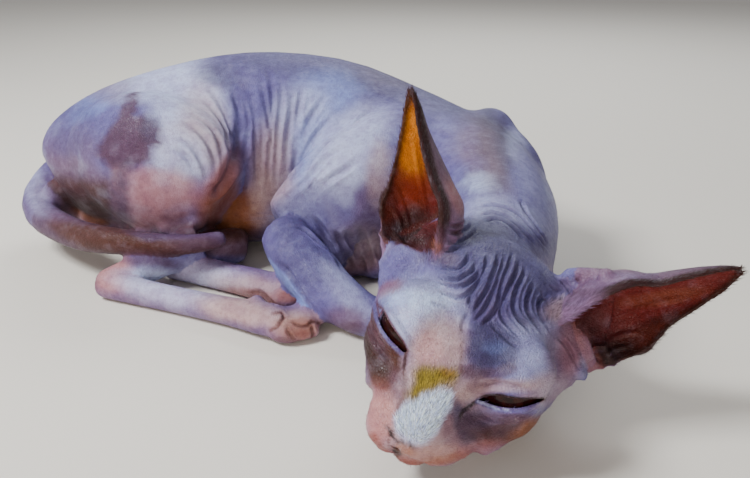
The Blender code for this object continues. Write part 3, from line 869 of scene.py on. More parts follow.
class Paint:
    """Named colours laid over the skin: its own, with painted shade and painted light in some places."""

    def __init__(self, obj):
        self.points = positions(obj.data)
        self.ways = normals(obj.data)
        self.region = nearest_regions(self.points)
        self.uv = to_photo(self.points)
        rays = self.points - np.array(CAMERA)
        rays /= np.linalg.norm(rays, axis=1, keepdims=True)
        self.facing = soft_step(-(rays * self.ways).sum(1), -0.25, 0.15)
        self.coarse, self.fine = (
            np.stack([ripple(self.points, size, seed) for seed in seeds], 1)
            for size, seeds in (COARSE_NOISE, FINE_NOISE)
        )
        self.rim = np.zeros(len(self.points))
        self.colour = np.tile(linear(PIGMENTS_AND_SHADING["lilac"]), (len(self.points), 1))

    def lay(self, pigment_and_shading, amount):
        amount = np.clip(amount, 0, 1)[:, None]
        self.colour = self.colour * (1 - amount) + linear(PIGMENTS_AND_SHADING[pigment_and_shading]) * amount

    def on(self, regions):
        return np.isin(self.region, regions.split())

    def seen(self, regions, ragged):
        """Where the camera sees these regions, and the photograph's places pushed about by noise."""
        share = self.facing * self.on(regions)
        return share, self.uv + self.coarse * ragged + self.fine * ragged * 0.3

    def spot(self, regions, pigment_and_shading, u, v, ru, rv, turn, amount, ragged=4, where=1):
        """An oval blot round a place in the photograph, its long way turned in degrees."""
        share, uv = self.seen(regions, ragged)
        t = math.radians(turn)
        gone = uv - (u, v)
        x = (gone[:, 0] * math.cos(t) + gone[:, 1] * math.sin(t)) / ru
        y = (gone[:, 1] * math.cos(t) - gone[:, 0] * math.sin(t)) / rv
        self.lay(pigment_and_shading, share * where * amount * (1 - soft_step(np.sqrt(x * x + y * y), *SOFT_EDGE)))

    def line(self, regions, pigment_and_shading, points, width, amount, ragged=0.6):
        """A soft line along places in the photograph, of a half width in pixels."""
        share, uv = self.seen(regions, ragged)
        gone = off_line(points, uv)
        start, end = SOFT_EDGE
        self.lay(pigment_and_shading, share * amount * (1 - soft_step(gone, start * width, end * width)))

    def patch(self, regions, pigment_and_shading, outline, soft, amount, ragged=3):
        """A blot with an outline of its own in the photograph."""
        share, uv = self.seen(regions, ragged)
        self.lay(pigment_and_shading, share * amount * soft_step(inside(outline, uv), -soft, soft))

    def marks(self, regions, rows):
        """Lays the rows of a table in order. A row that starts with neither line nor patch is a spot."""
        for row in rows:
            if row[0] == "line":
                self.line(regions, *row[1:])
            elif row[0] == "patch":
                self.patch(regions, *row[1:])
            else:
                self.spot(regions, *row)

    def cloud(self, regions, pigment_and_shading, size, seed, low, high, amount):
        """Blotches over some regions, from noise alone, weaker on the side that the photograph shows."""
        field = ripple(self.points, size, seed) + 0.4 * self.coarse[:, 0] + 0.2 * self.fine[:, 0]
        amount = amount * (1 - 0.6 * self.facing)
        self.lay(pigment_and_shading, self.on(regions) * amount * soft_step(field, low, high))


def store(mesh, name, values):
    """Keeps a number or a colour for each point of a mesh."""
    values = np.asarray(values, np.float32)
    if values.ndim == 1:
        mesh.attributes.new(name, "FLOAT", "POINT").data.foreach_set("value", values)
    else:
        rgba = np.hstack([values, np.ones((len(values), 1), np.float32)])
        mesh.attributes.new(name, "FLOAT_COLOR", "POINT").data.foreach_set("color", rgba.ravel())


BODY = "torso thigh_right upper_arm_right upper_arm_left"
LEGS = "forearm_right forearm_left paw_right paw_left shank_right shank_left foot_right foot_left"
TAIL = "tail_root tail_middle tail_tip"
BOTH_EARS = "ear_right ear_left"
HAUNCH = "thigh_right torso shank_right"
ARM = "forearm_right paw_right upper_arm_right"
RIGHT_LEG = "shank_right foot_right thigh_right"
LEFT_LEG = "shank_left foot_left"
FACE = "head neck"

# Outlines of patches and edges, as places in the photograph.
HAUNCH_PATCH = [
    (109, 129), (117, 115), (121, 101), (131, 93), (139, 95), (137, 105), (137, 115), (147, 115),
    (157, 119), (159, 127), (162, 141), (159, 145), (153, 141), (151, 149), (153, 161), (145, 164),
    (133, 170), (123, 170), (105, 167), (97, 155), (101, 141),
]
THIGH_PINK = [
    (126, 174), (150, 168), (176, 170), (196, 184), (200, 202), (184, 220), (156, 234), (126, 232),
    (130, 200),
]
HAUNCH_STEM = [(108, 166), (126, 166), (131, 195), (131, 232), (113, 232), (114, 195)]
RUMP_SHADOW = [
    (40, 168), (60, 174), (90, 178), (110, 180), (114, 200), (114, 232), (90, 226), (60, 208), (44, 188),
]
# Low on the belly, where painted shade and painted warm bounce light are laid.
BELLY_SHADE = [
    (206, 200), (225, 180), (236, 160), (244, 178), (254, 200), (264, 222), (262, 242), (230, 240),
    (204, 232),
]
SCAPULA_PATCH = [
    (474, 112), (490, 106), (505, 116), (514, 140), (516, 165), (508, 190), (492, 200), (482, 180),
    (478, 150),
]
FOREHEAD_SLATE = [
    (452, 240), (480, 232), (510, 240), (535, 258), (550, 280), (548, 300), (540, 318), (525, 332),
    (508, 322), (490, 318), (474, 322), (464, 306), (462, 290), (446, 284), (436, 268),
]
EYE_SLATE = [
    (472, 326), (486, 318), (500, 322), (512, 335), (517, 350), (512, 364), (495, 367), (475, 368),
    (464, 356),
]
RIGHT_LOWER_LID = [
    (372, 300), (365, 305), (361, 325), (363, 345), (367, 365), (372, 384), (382, 392), (392, 386),
    (400, 370), (402, 357), (391, 345), (382, 330), (376, 312),
]
YELLOW_DOWN = [
    (413, 372), (424, 368), (440, 370), (455, 372), (458, 380), (452, 390), (440, 393), (430, 398),
    (420, 406), (412, 406), (405, 398), (411, 386),
]
WHITE_DOWN = [
    (404, 404), (414, 404), (424, 398), (440, 392), (453, 396), (451, 410), (441, 420), (434, 434),
    (422, 445), (408, 442), (396, 434), (393, 420),
]
INNER_CORNER = [
    (456, 402), (466, 410), (482, 413), (494, 422), (492, 436), (478, 443), (462, 438), (454, 424),
    (452, 410),
]
NOSE_EDGE = [(388, 427), (391, 436), (397, 442), (406, 445), (416, 446.5)]
LEFT_LID_MARGIN = [(478, 401), (487, 405), (498, 409), (511, 410.5), (524, 408.5), (537, 403)]
RIGHT_LID_MARGIN = [(374, 303), (376, 317), (382, 331), (391, 344), (402, 354)]
# The marks, in the order that they are laid; some of them are painted shade and painted light, as noted
# at their rows. A spot has its colour, its middle in the photograph, its radii, the turn of its long way and
# its strength. A line has its colour, places, half width and strength, and a patch its colour, outline,
# softness and strength. A last number says how ragged the edge is.
HAUNCH_MARKS = [
    # The blue spot is a painted highlight; the pale on the haunch's top, next row, is pale skin with painted
    # highlight.
    ("lilac", 80, 130, 60, 50, 0, 0.9), ("blue", 90, 106, 30, 12, -35, 0.6),
    ("mauve", 70, 150, 36, 30, 0, 0.45), ("pale", 160, 78, 60, 24, -12, 0.95),
    ("pale", 190, 112, 42, 50, 0, 0.95), ("cream", 205, 130, 26, 50, -10, 0.5),
    ("cream", 184, 152, 30, 34, 0, 0.35), ("pale", 178, 160, 34, 34, 0, 0.8),
    ("patch", "mauve", THIGH_PINK, 10, 0.35, 5), ("patch", "pink", THIGH_PINK, 8, 0.6, 6),
    # The ochre spot in the groove by the belly is painted warm bounce light.
    ("ochre", 228, 180, 14, 40, 15, 0.5), ("mauve", 112, 88, 28, 13, -20, 0.4),
    ("lilac", 70, 120, 30, 30, 0, 0.4), ("patch", "plum", HAUNCH_PATCH, 4, 0.93, 7),
    ("slate", 152, 128, 12, 16, 0, 0.4), ("mauve", 76, 172, 40, 16, 20, 0.5),
]
RUMP_MARKS_AND_SHADING = [
    # Black and ochre under the rump are painted shade and painted warm bounce light.
    ("black", 84, 206, 40, 11, 20, 0.35), ("ochre", 88, 219, 26, 6, 20, 0.5),
    # Rose and ochre where the thigh meets the belly, here and next row: painted shade and painted warm
    # bounce light.
    ("rose", 220, 190, 16, 38, 20, 0.6), ("ochre", 222, 204, 16, 30, 20, 0.45),
    ("rose", 208, 206, 15, 30, 0, 0.6), ("ochre", 210, 214, 14, 20, 0, 0.45),
    ("slate", 74, 128, 26, 34, 10, 0.22), ("mauve", 180, 222, 34, 9, -8, 0.5),
    ("patch", "mauve", HAUNCH_STEM, 3, 0.9, 3), ("slate", 122, 200, 7, 32, 0, 0.4, 2),
]
BACK_MARKS = [
    ("lilac", 300, 64, 110, 24, 4, 0.95), ("slate", 300, 61, 125, 18, 4, 0.46),
    ("slate", 218, 76, 26, 14, 10, 0.55), ("lilac", 268, 104, 24, 34, 0, 0.55),
    ("lilac", 405, 90, 70, 26, 14, 0.9), ("mauve", 385, 78, 36, 12, 10, 0.35),
    # The blue spots, here and next row: bluish skin with painted highlight on the shoulder's top.
    ("blue", 330, 92, 40, 26, 0, 0.6), ("pale", 300, 120, 34, 40, 20, 0.7),
    ("blue", 310, 150, 26, 50, 20, 0.45), ("cream", 272, 170, 26, 50, 0, 0.55),
    # The brown patch and the ochre spot on the belly are painted shade and painted warm bounce light.
    ("patch", "brown", BELLY_SHADE, 9, 0.7, 3), ("ochre", 236, 212, 36, 26, 0, 0.75),
    ("cream", 262, 196, 14, 34, 0, 0.55), ("pale", 350, 140, 50, 30, -30, 0.75),
    ("pale", 340, 172, 46, 26, -25, 0.85), ("lilac", 300, 212, 40, 26, -20, 0.55),
    ("pale", 303, 210, 34, 22, -20, 0.4), ("mauve", 372, 210, 24, 34, 0, 0.5),
    # Cream, pink and pale at the chest, here and next row: its pink skin lightened as painted light in
    # shade.
    ("cream", 350, 248, 36, 26, 0, 0.85), ("pink", 352, 256, 30, 20, 20, 0.3),
    ("pale", 348, 246, 30, 20, 0, 0.35), ("cream", 380, 175, 14, 40, 0, 0.5),
    ("patch", "slate", SCAPULA_PATCH, 8, 0.85, 9), ("plum", 496, 150, 16, 34, -12, 0.35),
    ("mauve", 478, 150, 22, 44, -15, 0.5), ("white", 482, 184, 20, 12, 0, 0.5),
    ("pale", 518, 146, 12, 22, -10, 0.5), ("lilac", 535, 190, 26, 50, -20, 0.7),
    ("slate", 470, 112, 34, 12, 5, 0.45), ("slate", 400, 87, 70, 20, 14, 0.55),
    ("pale", 505, 216, 46, 22, 12, 0.4), ("pale", 536, 192, 16, 34, -20, 0.2),
    ("pale", 553, 205, 8, 44, -8, 0.45), ("mauve", 500, 185, 14, 26, -20, 0.3),
]
ARM_MARKS = [
    ("lilac", 310, 280, 70, 90, 0, 0.9), ("slate", 300, 262, 30, 40, -40, 0.45),
    ("slate", 285, 222, 24, 20, 0, 0.4), ("pale", 345, 290, 16, 40, -35, 0.4),
    ("mauve", 344, 322, 24, 16, 0, 0.6), ("brown", 352, 330, 18, 10, 0, 0.4),
    # The blue line along the forearm is a painted highlight.
    ("line", "blue", [(268, 262), (282, 276), (294, 292), (308, 312)], 4, 0.8),
]
RIGHT_LEG_MARKS = [
    ("pink", 112, 272, 24, 24, 0, 0.9), ("plum", 90, 276, 10, 16, 0, 0.8),
    ("plum", 150, 262, 34, 8, 10, 0.7), ("pale", 165, 288, 60, 18, 12, 0.95),
    ("white", 150, 282, 30, 12, 12, 0.35), ("cream", 240, 310, 50, 16, 12, 0.8),
]
RIGHT_TOE_MARKS = [
    ("cream", 296, 326, 30, 18, 0, 0.85, 2), ("ochre", 296, 328, 26, 13, 0, 0.6, 2),
    ("mauve", 276, 334, 14, 9, 10, 0.4, 2), ("rose", 303, 334, 9, 6, 0, 0.6, 2),
    ("brown", 292, 343, 30, 5, 5, 0.6, 2),
]
LEFT_LEG_MARKS = [
    ("pale", 200, 275, 54, 16, 6, 0.9), ("white", 214, 280, 30, 10, 6, 0.35),
    ("cream", 252, 288, 44, 16, 8, 0.6), ("rose", 252, 296, 34, 9, 8, 0.6, 2),
    ("brown", 260, 303, 24, 7, 6, 0.85, 2), ("plum", 258, 299, 11, 7, 0, 0.6, 2),
    # The brown line along the left foot's toe crease is painted shade.
    ("rose", 288, 296, 14, 9, 10, 0.75, 2), ("line", "brown", FOOT_CREASES[4], 2, 0.8, 1.5),
]
TAIL_MARKS = [
    ("lilac", 40, 185, 22, 36, -30, 0.6), ("pale", 34, 188, 12, 34, -24, 0.45),
    # The brown spots low along the tail, here and two rows on, are painted shade along its underside.
    ("mauve", 60, 205, 40, 22, 35, 0.4), ("brown", 86, 238, 50, 14, 20, 0.9),
    ("plum", 124, 238, 44, 16, 10, 0.6), ("brown", 120, 235, 60, 15, 8, 0.85),
    ("brown", 128, 246, 60, 8, 6, 0.7), ("brown", 190, 246, 34, 8, 0, 0.5),
    ("lilac", 150, 236, 24, 5, 5, 0.25),
]
FACE_MARKS = [
    ("cream", 420, 415, 70, 70, 0, 0.75), ("mauve", 470, 395, 30, 40, 0, 0.3),
    ("lilac", 520, 225, 60, 34, 15, 0.8), ("pale", 505, 216, 46, 18, 12, 0.4),
    ("lilac", 540, 345, 50, 50, 0, 0.5, 3), ("pale", 528, 352, 34, 40, 0, 0.45, 3),
    ("cream", 545, 390, 34, 18, -20, 0.45, 3), ("mauve", 566, 350, 24, 36, 0, 0.7, 3),
    ("rose", 570, 348, 14, 34, 0, 0.35, 3), ("cream", 560, 312, 20, 14, 0, 0.5, 3),
    ("patch", "slate", FOREHEAD_SLATE, 10, 0.6, 4), ("slate", 505, 240, 60, 20, 8, 0.6, 4),
    # Pale and white on the brow, here and next row: white down with painted highlight; its blue spot,
    # painted highlight.
    ("brown", 440, 258, 24, 9, 0, 0.45, 3), ("pale", 425, 315, 42, 40, 0, 0.9, 3),
    ("white", 418, 301, 36, 12, 4, 0.8, 3), ("blue", 398, 300, 18, 9, -10, 0.3, 3),
    ("cream", 440, 345, 30, 34, 0, 0.85, 3), ("mauve", 440, 342, 28, 36, 0, 0.36, 3),
    ("pink", 428, 350, 18, 22, 0, 0.35, 3), ("rose", 388, 290, 18, 7, -30, 0.5, 3),
    # The blue spot beside the left eye is a painted highlight.
    ("patch", "slate", EYE_SLATE, 6, 0.8, 4), ("blue", 494, 347, 14, 8, 0, 0.25, 3),
    ("line", "brown", [(464, 371), (480, 374), (498, 373), (511, 367)], 7, 0.55, 2),
    ("line", "brown", [(461, 330), (462, 350), (460, 362), (462, 376)], 1.4, 0.45, 1.5),
    ("cream", 500, 385, 44, 8, 0, 0.55, 2), ("cream", 470, 393, 20, 8, -10, 0.6, 2),
    ("mauve", 480, 388, 18, 9, 0, 0.5, 2), ("patch", "brown", RIGHT_LOWER_LID, 3, 0.97, 1),
    ("line", "black", [(364, 318), (364, 336), (368, 356)], 5, 0.55),
    # The black over the brown under the right eye is painted shade.
    ("brown", 381, 369, 18, 24, -20, 0.85, 2), ("black", 377, 364, 11, 26, -20, 0.5, 2),
    ("plum", 376, 340, 8, 26, -20, 0.45, 2), ("rose", 400, 466, 40, 7, 5, 0.85, 1),
    ("pink", 380, 415, 18, 36, 0, 0.85, 3), ("mauve", 396, 385, 9, 18, -10, 0.6, 2),
    ("line", "rose", [(372, 438), (379, 451), (391, 458), (404, 462), (422, 467)], 7, 0.85, 1),
    ("line", "brown", [(404, 378), (405, 388), (403, 398), (398, 408)], 4, 0.5, 1.5),
    ("mauve", 455, 425, 22, 24, 0, 0.8, 3), ("rose", 436, 456, 34, 13, -8, 0.7, 3),
    # The ochre along the chin is painted warm bounce light from below.
    ("cream", 434, 452, 26, 9, -8, 0.4, 3), ("ochre", 448, 460, 34, 7, -8, 0.45, 2),
    ("patch", "yellow", YELLOW_DOWN, 8, 0.95, 8), ("ochre", 446, 376, 9, 6, 0, 0.3, 2),
    ("patch", "white", WHITE_DOWN, 4, 0.92, 4), ("patch", "slate", INNER_CORNER, 5, 0.8, 4),
    ("brown", 510, 431, 46, 15, -14, 0.88, 3), ("mauve", 505, 418, 30, 6, 0, 0.6, 2),
    # The ochre on the jaw is painted warm bounce light from below.
    ("ochre", 536, 428, 38, 11, -28, 0.62, 3), ("rose", 480, 450, 30, 10, -15, 0.6, 3),
    ("line", "black", [(479, 400.5), (471, 405), (463, 410), (460, 417)], 2.2, 0.85, 1),
    ("brown", 470, 424, 18, 14, 0, 0.4, 3), ("ochre", 404, 450, 14, 6, 15, 0.6, 1),
    ("line", "black", NOSE_EDGE, 1.6, 0.8, 1.4), ("black", 391, 433, 4, 6, -30, 0.7, 1),
    ("black", 397, 452, 6, 3.5, 30, 0.9, 0.5),
    ("line", "brown", [(399, 452), (396, 457), (390, 459)], 2, 0.8, 0.5),
]
LEFT_UPPER_LID = [(477, 399), (485, 395.5), (497, 394.5), (509, 396.5), (522, 398.5), (546, 398)]
LID_MARKS = [
    ("line", "lilac", RIGHT_LID_MARGIN, 2.4, 0.85, 0.4), ("line", "lilac", LEFT_LID_MARGIN, 3, 0.7, 0.4),
    # The pale line on the left lower margin is a painted highlight on its wet skin.
    ("line", "pale", LEFT_LID_MARGIN[:4], 1.4, 0.6, 0.4),
    ("line", "black", LEFT_UPPER_LID, 1.4, 0.8, 0),
    ("line", "brown", [(406, 352), (405, 362), (404, 374)], 1.8, 0.7, 0.3),
]


def paint_body(paint):
    """Trunk and legs: lilac grey with pale, pink and plum blotches."""
    everywhere = " ".join((BODY, LEGS, TAIL, FACE, BOTH_EARS))
    paint.lay("dusk", 0.75 * (1 - paint.facing))
    paint.cloud(everywhere, "pale", 34, 11, -0.1, 0.6, 0.5)
    paint.cloud(everywhere, "pink", 40, 12, 0, 0.7, 0.3)
    paint.cloud(everywhere, "slate", 30, 13, 0.15, 0.45, 0.4)
    paint.cloud(BODY, "plum", 44, 14, 0.28, 0.4, 0.45)
    paint.marks(HAUNCH, HAUNCH_MARKS)
    paint.patch(HAUNCH + " tail_root", "brown", RUMP_SHADOW, 9, 0.92)
    paint.marks(HAUNCH, RUMP_MARKS_AND_SHADING)
    # Brown over the far leg between the thigh and the tail: painted shade.
    paint.spot(HAUNCH + " shank_left foot_left", "brown", 212, 232, 60, 12, 0, 0.85, 3)
    paint.cloud(BODY + " neck shank_right", "white", 10, 21, 0.15, 0.6, 0.25)
    paint.cloud(BODY + " neck shank_right", "slate", 9, 22, 0.15, 0.6, 0.2)
    paint.marks(TRUNK, BACK_MARKS)
    paint.marks(ARM, ARM_MARKS)


def paint_legs(paint):
    """Hind legs, pale and pink over brown toes, and the dark tail."""
    paint.marks(RIGHT_LEG, RIGHT_LEG_MARKS)
    paint.marks("foot_right", RIGHT_TOE_MARKS)
    # Brown lines in the right foot's toe creases: painted shade.
    for crease in FOOT_CREASES[:4]:
        paint.line("foot_right", "brown", crease, 1.8, 0.75, 1.5)
    # Brown on the far shank above the foot: painted shade.
    paint.lay("brown", 0.8 * paint.on(LEFT_LEG) * (1 - soft_step(paint.uv[:, 1], 252, 262)))
    paint.marks(LEFT_LEG, LEFT_LEG_MARKS)
    paint.lay("pink", 0.2 * paint.on("paw_right paw_left foot_right foot_left"))
    for part, share in (("tail_root", 0.25), ("tail_middle", 0.75), ("tail_tip", 0.8)):
        paint.lay("plum", share * paint.on(part))
    paint.marks(TAIL, TAIL_MARKS)
    # Brown on the tail's downward side: painted shade.
    paint.lay("brown", 0.5 * paint.on(TAIL) * soft_step(-paint.ways[:, 2], -0.1, 0.7))


def paint_lids(paint):
    """Dark edges round the openings, with pale wet margins under them, the left one with a painted
    highlight.
    """
    for outline in EYE_OPENINGS.values():
        paint.line("head", "maroon", outline + outline[:1], 2.2, 0.9, 0)
    paint.marks("head", LID_MARKS)


def ear_coordinates(paint, side):
    """Places along the ear, across it and out of its cup, in millimetres from its root's middle, and the
    surface's ways in the same frame."""
    root, axis, across, opening = ear_frame(side)
    turn = np.array([axis, across, opening]).T
    mirror = (MIRROR[side], 1, 1)
    places = np.array(HEAD.inverted()) @ np.vstack([paint.points.T, np.ones(len(paint.points))])
    ways = paint.ways @ np.array(HEAD.to_3x3()) / MM
    return (places[:3].T * mirror - np.array(root)) @ turn, ways * mirror @ turn


def cup_inside(side, out, ways):
    """Where the ear's surface looks in towards the middle of its cup, and where skin lines its hollow."""
    distances, wide, deep = np.array(EAR_RINGS[side], float).T
    sizes = np.stack([np.interp(out[:, 0], distances, size) for size in (wide, deep)], 1)
    slope = sizes**-2.0 * out[:, 1:]
    inward = -(ways[:, 1:] * slope).sum(1) / np.maximum(np.linalg.norm(slope, axis=1), 1e-9)
    hollow = (out - (CUP_BOTTOM[0], 0, -CUP_BOTTOM[1])) / np.array(CUP_RADII)[[2, 0, 1]]
    return soft_step(inward, -0.05, 0.25), 1 - soft_step(np.linalg.norm(hollow, axis=1), 1.15, 1.4)


# How much red shows inside each ear, its own red with painted light shining through it, and how far
# behind its opening the dark rim reaches, in millimetres.
EAR_RED = {"right": 0.5, "left": 0.28}
RIM_DEPTH = {"right": -4.2, "left": -3.2}
HOLLOW_EDGE = [(402, 234), (412, 229), (424, 223), (436, 217)]


def paint_ears(paint):
    """Thin ears: dark fuzzy rims, mauve outside, red brown inside with painted amber where light comes
    through, and painted shade deep in their cups.
    """
    for side in MIRROR:
        out, ways = ear_coordinates(paint, side)
        along_ear, across, opening = out.T
        own = paint.on("ear_" + side)
        inner, hollow = cup_inside(side, out, ways)
        inner = np.maximum(own * inner, hollow)
        outer = own * (1 - inner)
        paint.lay("mauve", 0.85 * outer)
        paint.lay("pink", 0.35 * outer * soft_step(along_ear, 34, 6))
        paint.lay("lilac", 0.45 * outer * soft_step(along_ear, 26, 4))
        paint.lay("plum", 0.85 * outer * soft_step(along_ear, 26, 48))
        paint.lay("maroon", 0.97 * inner)
        paint.lay("red", EAR_RED[side] * inner * soft_step(along_ear, 2, 20))
        rim = own * soft_step(opening, RIM_DEPTH[side], -1) * soft_step(along_ear, 2, 12)
        paint.rim = np.maximum(paint.rim, rim)
        own_and_head = "ear_%s head" % side
        if side == "right":
            # Ochre and amber high inside the right ear: painted light shining through it.
            paint.spot("ear_right", "ochre", 412, 176, 22, 34, -8, 0.5, 3, inner)
            paint.spot("ear_right", "amber", 410, 140, 18, 42, -8, 0.95, 4, inner)
            paint.spot("ear_right", "red", 414, 188, 16, 18, -8, 0.5, 3, inner)
            paint.spot("ear_right", "brown", 388, 205, 10, 24, 10, 0.6, 3, inner)
            # Black at the bottom of the cup: painted shade in its deep hollow.
            paint.spot(own_and_head, "black", 412, 226, 24, 22, -8, 0.7, 3, inner)
            paint.spot(own_and_head, "black", 392, 232, 18, 12, 0, 0.6, 3, inner)
            band = soft_step(opening, -5.8, -3) * soft_step(across, 1, 4) * soft_step(along_ear, 2, 10)
            rim = np.maximum(rim, own * band)
            paint.line(own_and_head, "maroon", HOLLOW_EDGE, 3.5, 0.9, 0.5)
            paint.spot("ear_right", "pink", 457, 196, 10, 22, -20, 0.5, 2, 1 - inner)
            paint.spot(own_and_head, "brown", 440, 228, 6, 24, -5, 0.7, 1)
            paint.spot(own_and_head, "ochre", 437, 249, 6, 7, 0, 0.6, 1)
        else:
            # Ochre along the left ear's upper inside: painted light shining through it.
            paint.spot("ear_left", "ochre", 664, 298, 50, 9, -8, 0.22, 3, inner)
            paint.spot("ear_left", "brown", 660, 330, 60, 12, -22, 0.6, 3, inner)
            # Black low in the cup: painted shade in its hollow.
            paint.spot(own_and_head, "black", 612, 358, 34, 18, -16, 0.8, 3, inner)
            paint.spot("ear_left", "black", 650, 322, 60, 5, -20, 0.35, 3, inner)
            paint.line(own_and_head, "rose", EAR_LOBES[0], 8, 0.6, 3)
            paint.line(own_and_head, "mauve", EAR_LOBES[0], 6, 0.4, 3)
            paint.spot(own_and_head, "lilac", 615, 282, 44, 12, -6, 0.35, 3, 1 - inner)
            paint.spot(own_and_head, "mauve", 588, 284, 40, 18, -4, 0.45, 3, 1 - inner)
            paint.spot("ear_left", "plum", 640, 280, 22, 4, -8, 0.6, 3, 1 - inner)
        paint.lay("umber", 0.92 * rim)


def dress(obj, folds):
    """Stores the skin's colour with its painted shade and light, its folds' painted shade and its wet places
    on its mesh.
    """
    paint = Paint(obj)
    paint_body(paint)
    paint_legs(paint)
    paint.marks(FACE, FACE_MARKS)
    paint_ears(paint)
    paint_lids(paint)
    store(obj.data, "pigment_and_shading", paint.colour)
    # The painted shade in the folds' valleys.
    store(obj.data, "fold", np.maximum(*(f.field(paint.points)[1] for f in folds)))
    eyes = [np.array(middle("eye_" + side)) for side in MIRROR]
    gone = np.min([np.linalg.norm(paint.points - eye, axis=1) for eye in eyes], axis=0)
    paint.wet = 1 - soft_step(gone, WET_EDGE[0] * MM, WET_EDGE[1] * MM)
    store(obj.data, "wet", paint.wet)
    return paint


BROW_DOWN = [(370, 284), (398, 277), (440, 285), (466, 296), (466, 312), (430, 318), (395, 320), (380, 302)]
BRIDGE_DOWN = [(405, 322), (462, 322), (466, 372), (452, 376), (412, 374), (406, 350)]
RIGHT_EAR_BASE = [(427, 226), (441, 226), (447, 244), (438, 264), (424, 264)]
LEFT_EAR_BASE = [(542, 296), (566, 294), (602, 290), (606, 304), (578, 322), (552, 324)]
# Where down grows thicker: its outline in the photograph, hairs on a square millimetre and their length.
DOWN_PATCHES = [
    (BRIDGE_DOWN, 1.5, 1.0),
    (BROW_DOWN, 1.8, 1.4),
    (INNER_CORNER, 2, 1.2),
    (YELLOW_DOWN, 13, 1.8),
    (WHITE_DOWN, 14, 1.9),
    (RIGHT_EAR_BASE, 5, 2.6),
    (LEFT_EAR_BASE, 5, 2.6),
]
# The rest of the down, by parts, in the same measures.
DOWN_PARTS = [("head", 0.6, 1.3), ("tail_tip", 0.6, 2.2), (LEGS, 0.2, 1.4), (BOTH_EARS, 0.5, 1.5)]
SPARSE_DOWN = (0.08, 1.5)
RIM_DOWN = (3, 2.2)
DOWN_HAIRS = 64000
# Chains of parts: the hair on each lies from the part before it towards the part after it.
HAIR_CHAINS = [
    "head neck torso tail_root tail_middle tail_tip",
    "torso thigh_right shank_right foot_right",
    "torso shank_left foot_left",
    "torso upper_arm_right forearm_right paw_right",
    "torso upper_arm_left forearm_left paw_left",
]
# One hair in its own frame: across, along and up, as shares of its width and length.
HAIR = [(-1, 0, -0.06), (1, 0, -0.06), (-0.7, 0.55, 0.5), (0.7, 0.55, 0.5), (0, 1, 0.75)]
HAIR_FACES = [(0, 1, 3, 2), (2, 3, 4)]
HAIR_WIDTH = 0.16 * MM
# How far hairs stray from their flow, the ranges of their length and lift, and how dark or pale they are.
HAIR_STRAY = 0.22
HAIR_LENGTHS = (0.65, 1.3)
HAIR_LIFTS = (0.15, 0.55)
DARK_SHARE = 0.25
DARK_SHADE = 0.35
PALE_SHADES = (0.8, 1.8)
# The share of the skin's faces that its flat layout keeps, and how much of that layout one hair takes up.
LAYOUT_SHARE = 0.04
HAIR_PATCH = 0.003
NOSE_TIP = (0, 34, -18)


def down_growth(paint):
    """For each place on the skin: hairs on a square millimetre, and their length in millimetres."""
    dense, long = (np.full(len(paint.points), value) for value in SPARSE_DOWN)
    for outline, count, length in DOWN_PATCHES:
        share, uv = paint.seen(FACE + " " + BOTH_EARS, 3)
        share = share * soft_step(inside(outline, uv), -3, 3)
        dense = np.maximum(dense, share * count)
        long = long * (1 - share) + length * share
    for parts, count, length in DOWN_PARTS:
        own = paint.on(parts)
        dense = np.maximum(dense, own * count)
        long = np.where(own & (dense <= count), length, long)
    clear_of_floor = soft_step(paint.points[:, 2], 2 * MM, 4 * MM)
    dense = np.maximum(dense, paint.rim * RIM_DOWN[0]) * (1 - paint.wet) * clear_of_floor
    return dense, long * (1 - paint.rim) + RIM_DOWN[1] * paint.rim


def down_flow(paint):
    """The way the hair lies at each place: back from the nose, out along the ears and down the limbs."""
    flow = paint.points - np.array(HEAD @ Vector(NOSE_TIP))
    for chain in HAIR_CHAINS:
        parts = chain.split()
        for before, part, after in zip(parts, parts[1:], parts[2:] + parts[-1:]):
            flow[paint.on(part)] = np.array(middle(after) - middle(before))
    for side in MIRROR:
        _, axis, _, _ = ear_frame(side)
        tip = HEAD.to_3x3() @ Vector((axis.x * MIRROR[side], axis.y, axis.z))
        flow[paint.on("ear_" + side)] = np.array(tip)
    return unit(flow)


def unit(ways):
    return ways / np.maximum(np.linalg.norm(ways, axis=1, keepdims=True), 1e-9)


def layout_finder(body):
    """Gives places on the skin their place on a flat layout of a coarse copy of it."""
    coarse = link(bpy.data.objects.new("layout", body.data.copy()))
    modifier(coarse, "DECIMATE", ratio=LAYOUT_SHARE, use_collapse_triangulate=True)
    coarse = applied(coarse, "layout")
    bpy.context.view_layer.objects.active = coarse
    coarse.select_set(True)
    bpy.ops.object.mode_set(mode="EDIT")
    bpy.ops.mesh.select_all(action="SELECT")
    bpy.ops.uv.smart_project(angle_limit=math.radians(66), island_margin=0.01)
    bpy.ops.object.mode_set(mode="OBJECT")
    bm = bmesh.new()
    bm.from_mesh(coarse.data)
    bmesh.ops.triangulate(bm, faces=bm.faces)
    flat = bm.loops.layers.uv.active
    corners = [[(loop.vert.co.copy(), loop[flat].uv.to_3d()) for loop in face.loops] for face in bm.faces]
    tree = BVHTree.FromBMesh(bm)
    bm.free()
    bpy.data.objects.remove(coarse)

    def find(place):
        hit, _, index, _ = tree.find_nearest(Vector(place))
        (a, ta), (b, tb), (c, tc) = corners[index]
        return geometry.barycentric_transform(hit, a, b, c, ta, tb, tc)[:2]

    return find


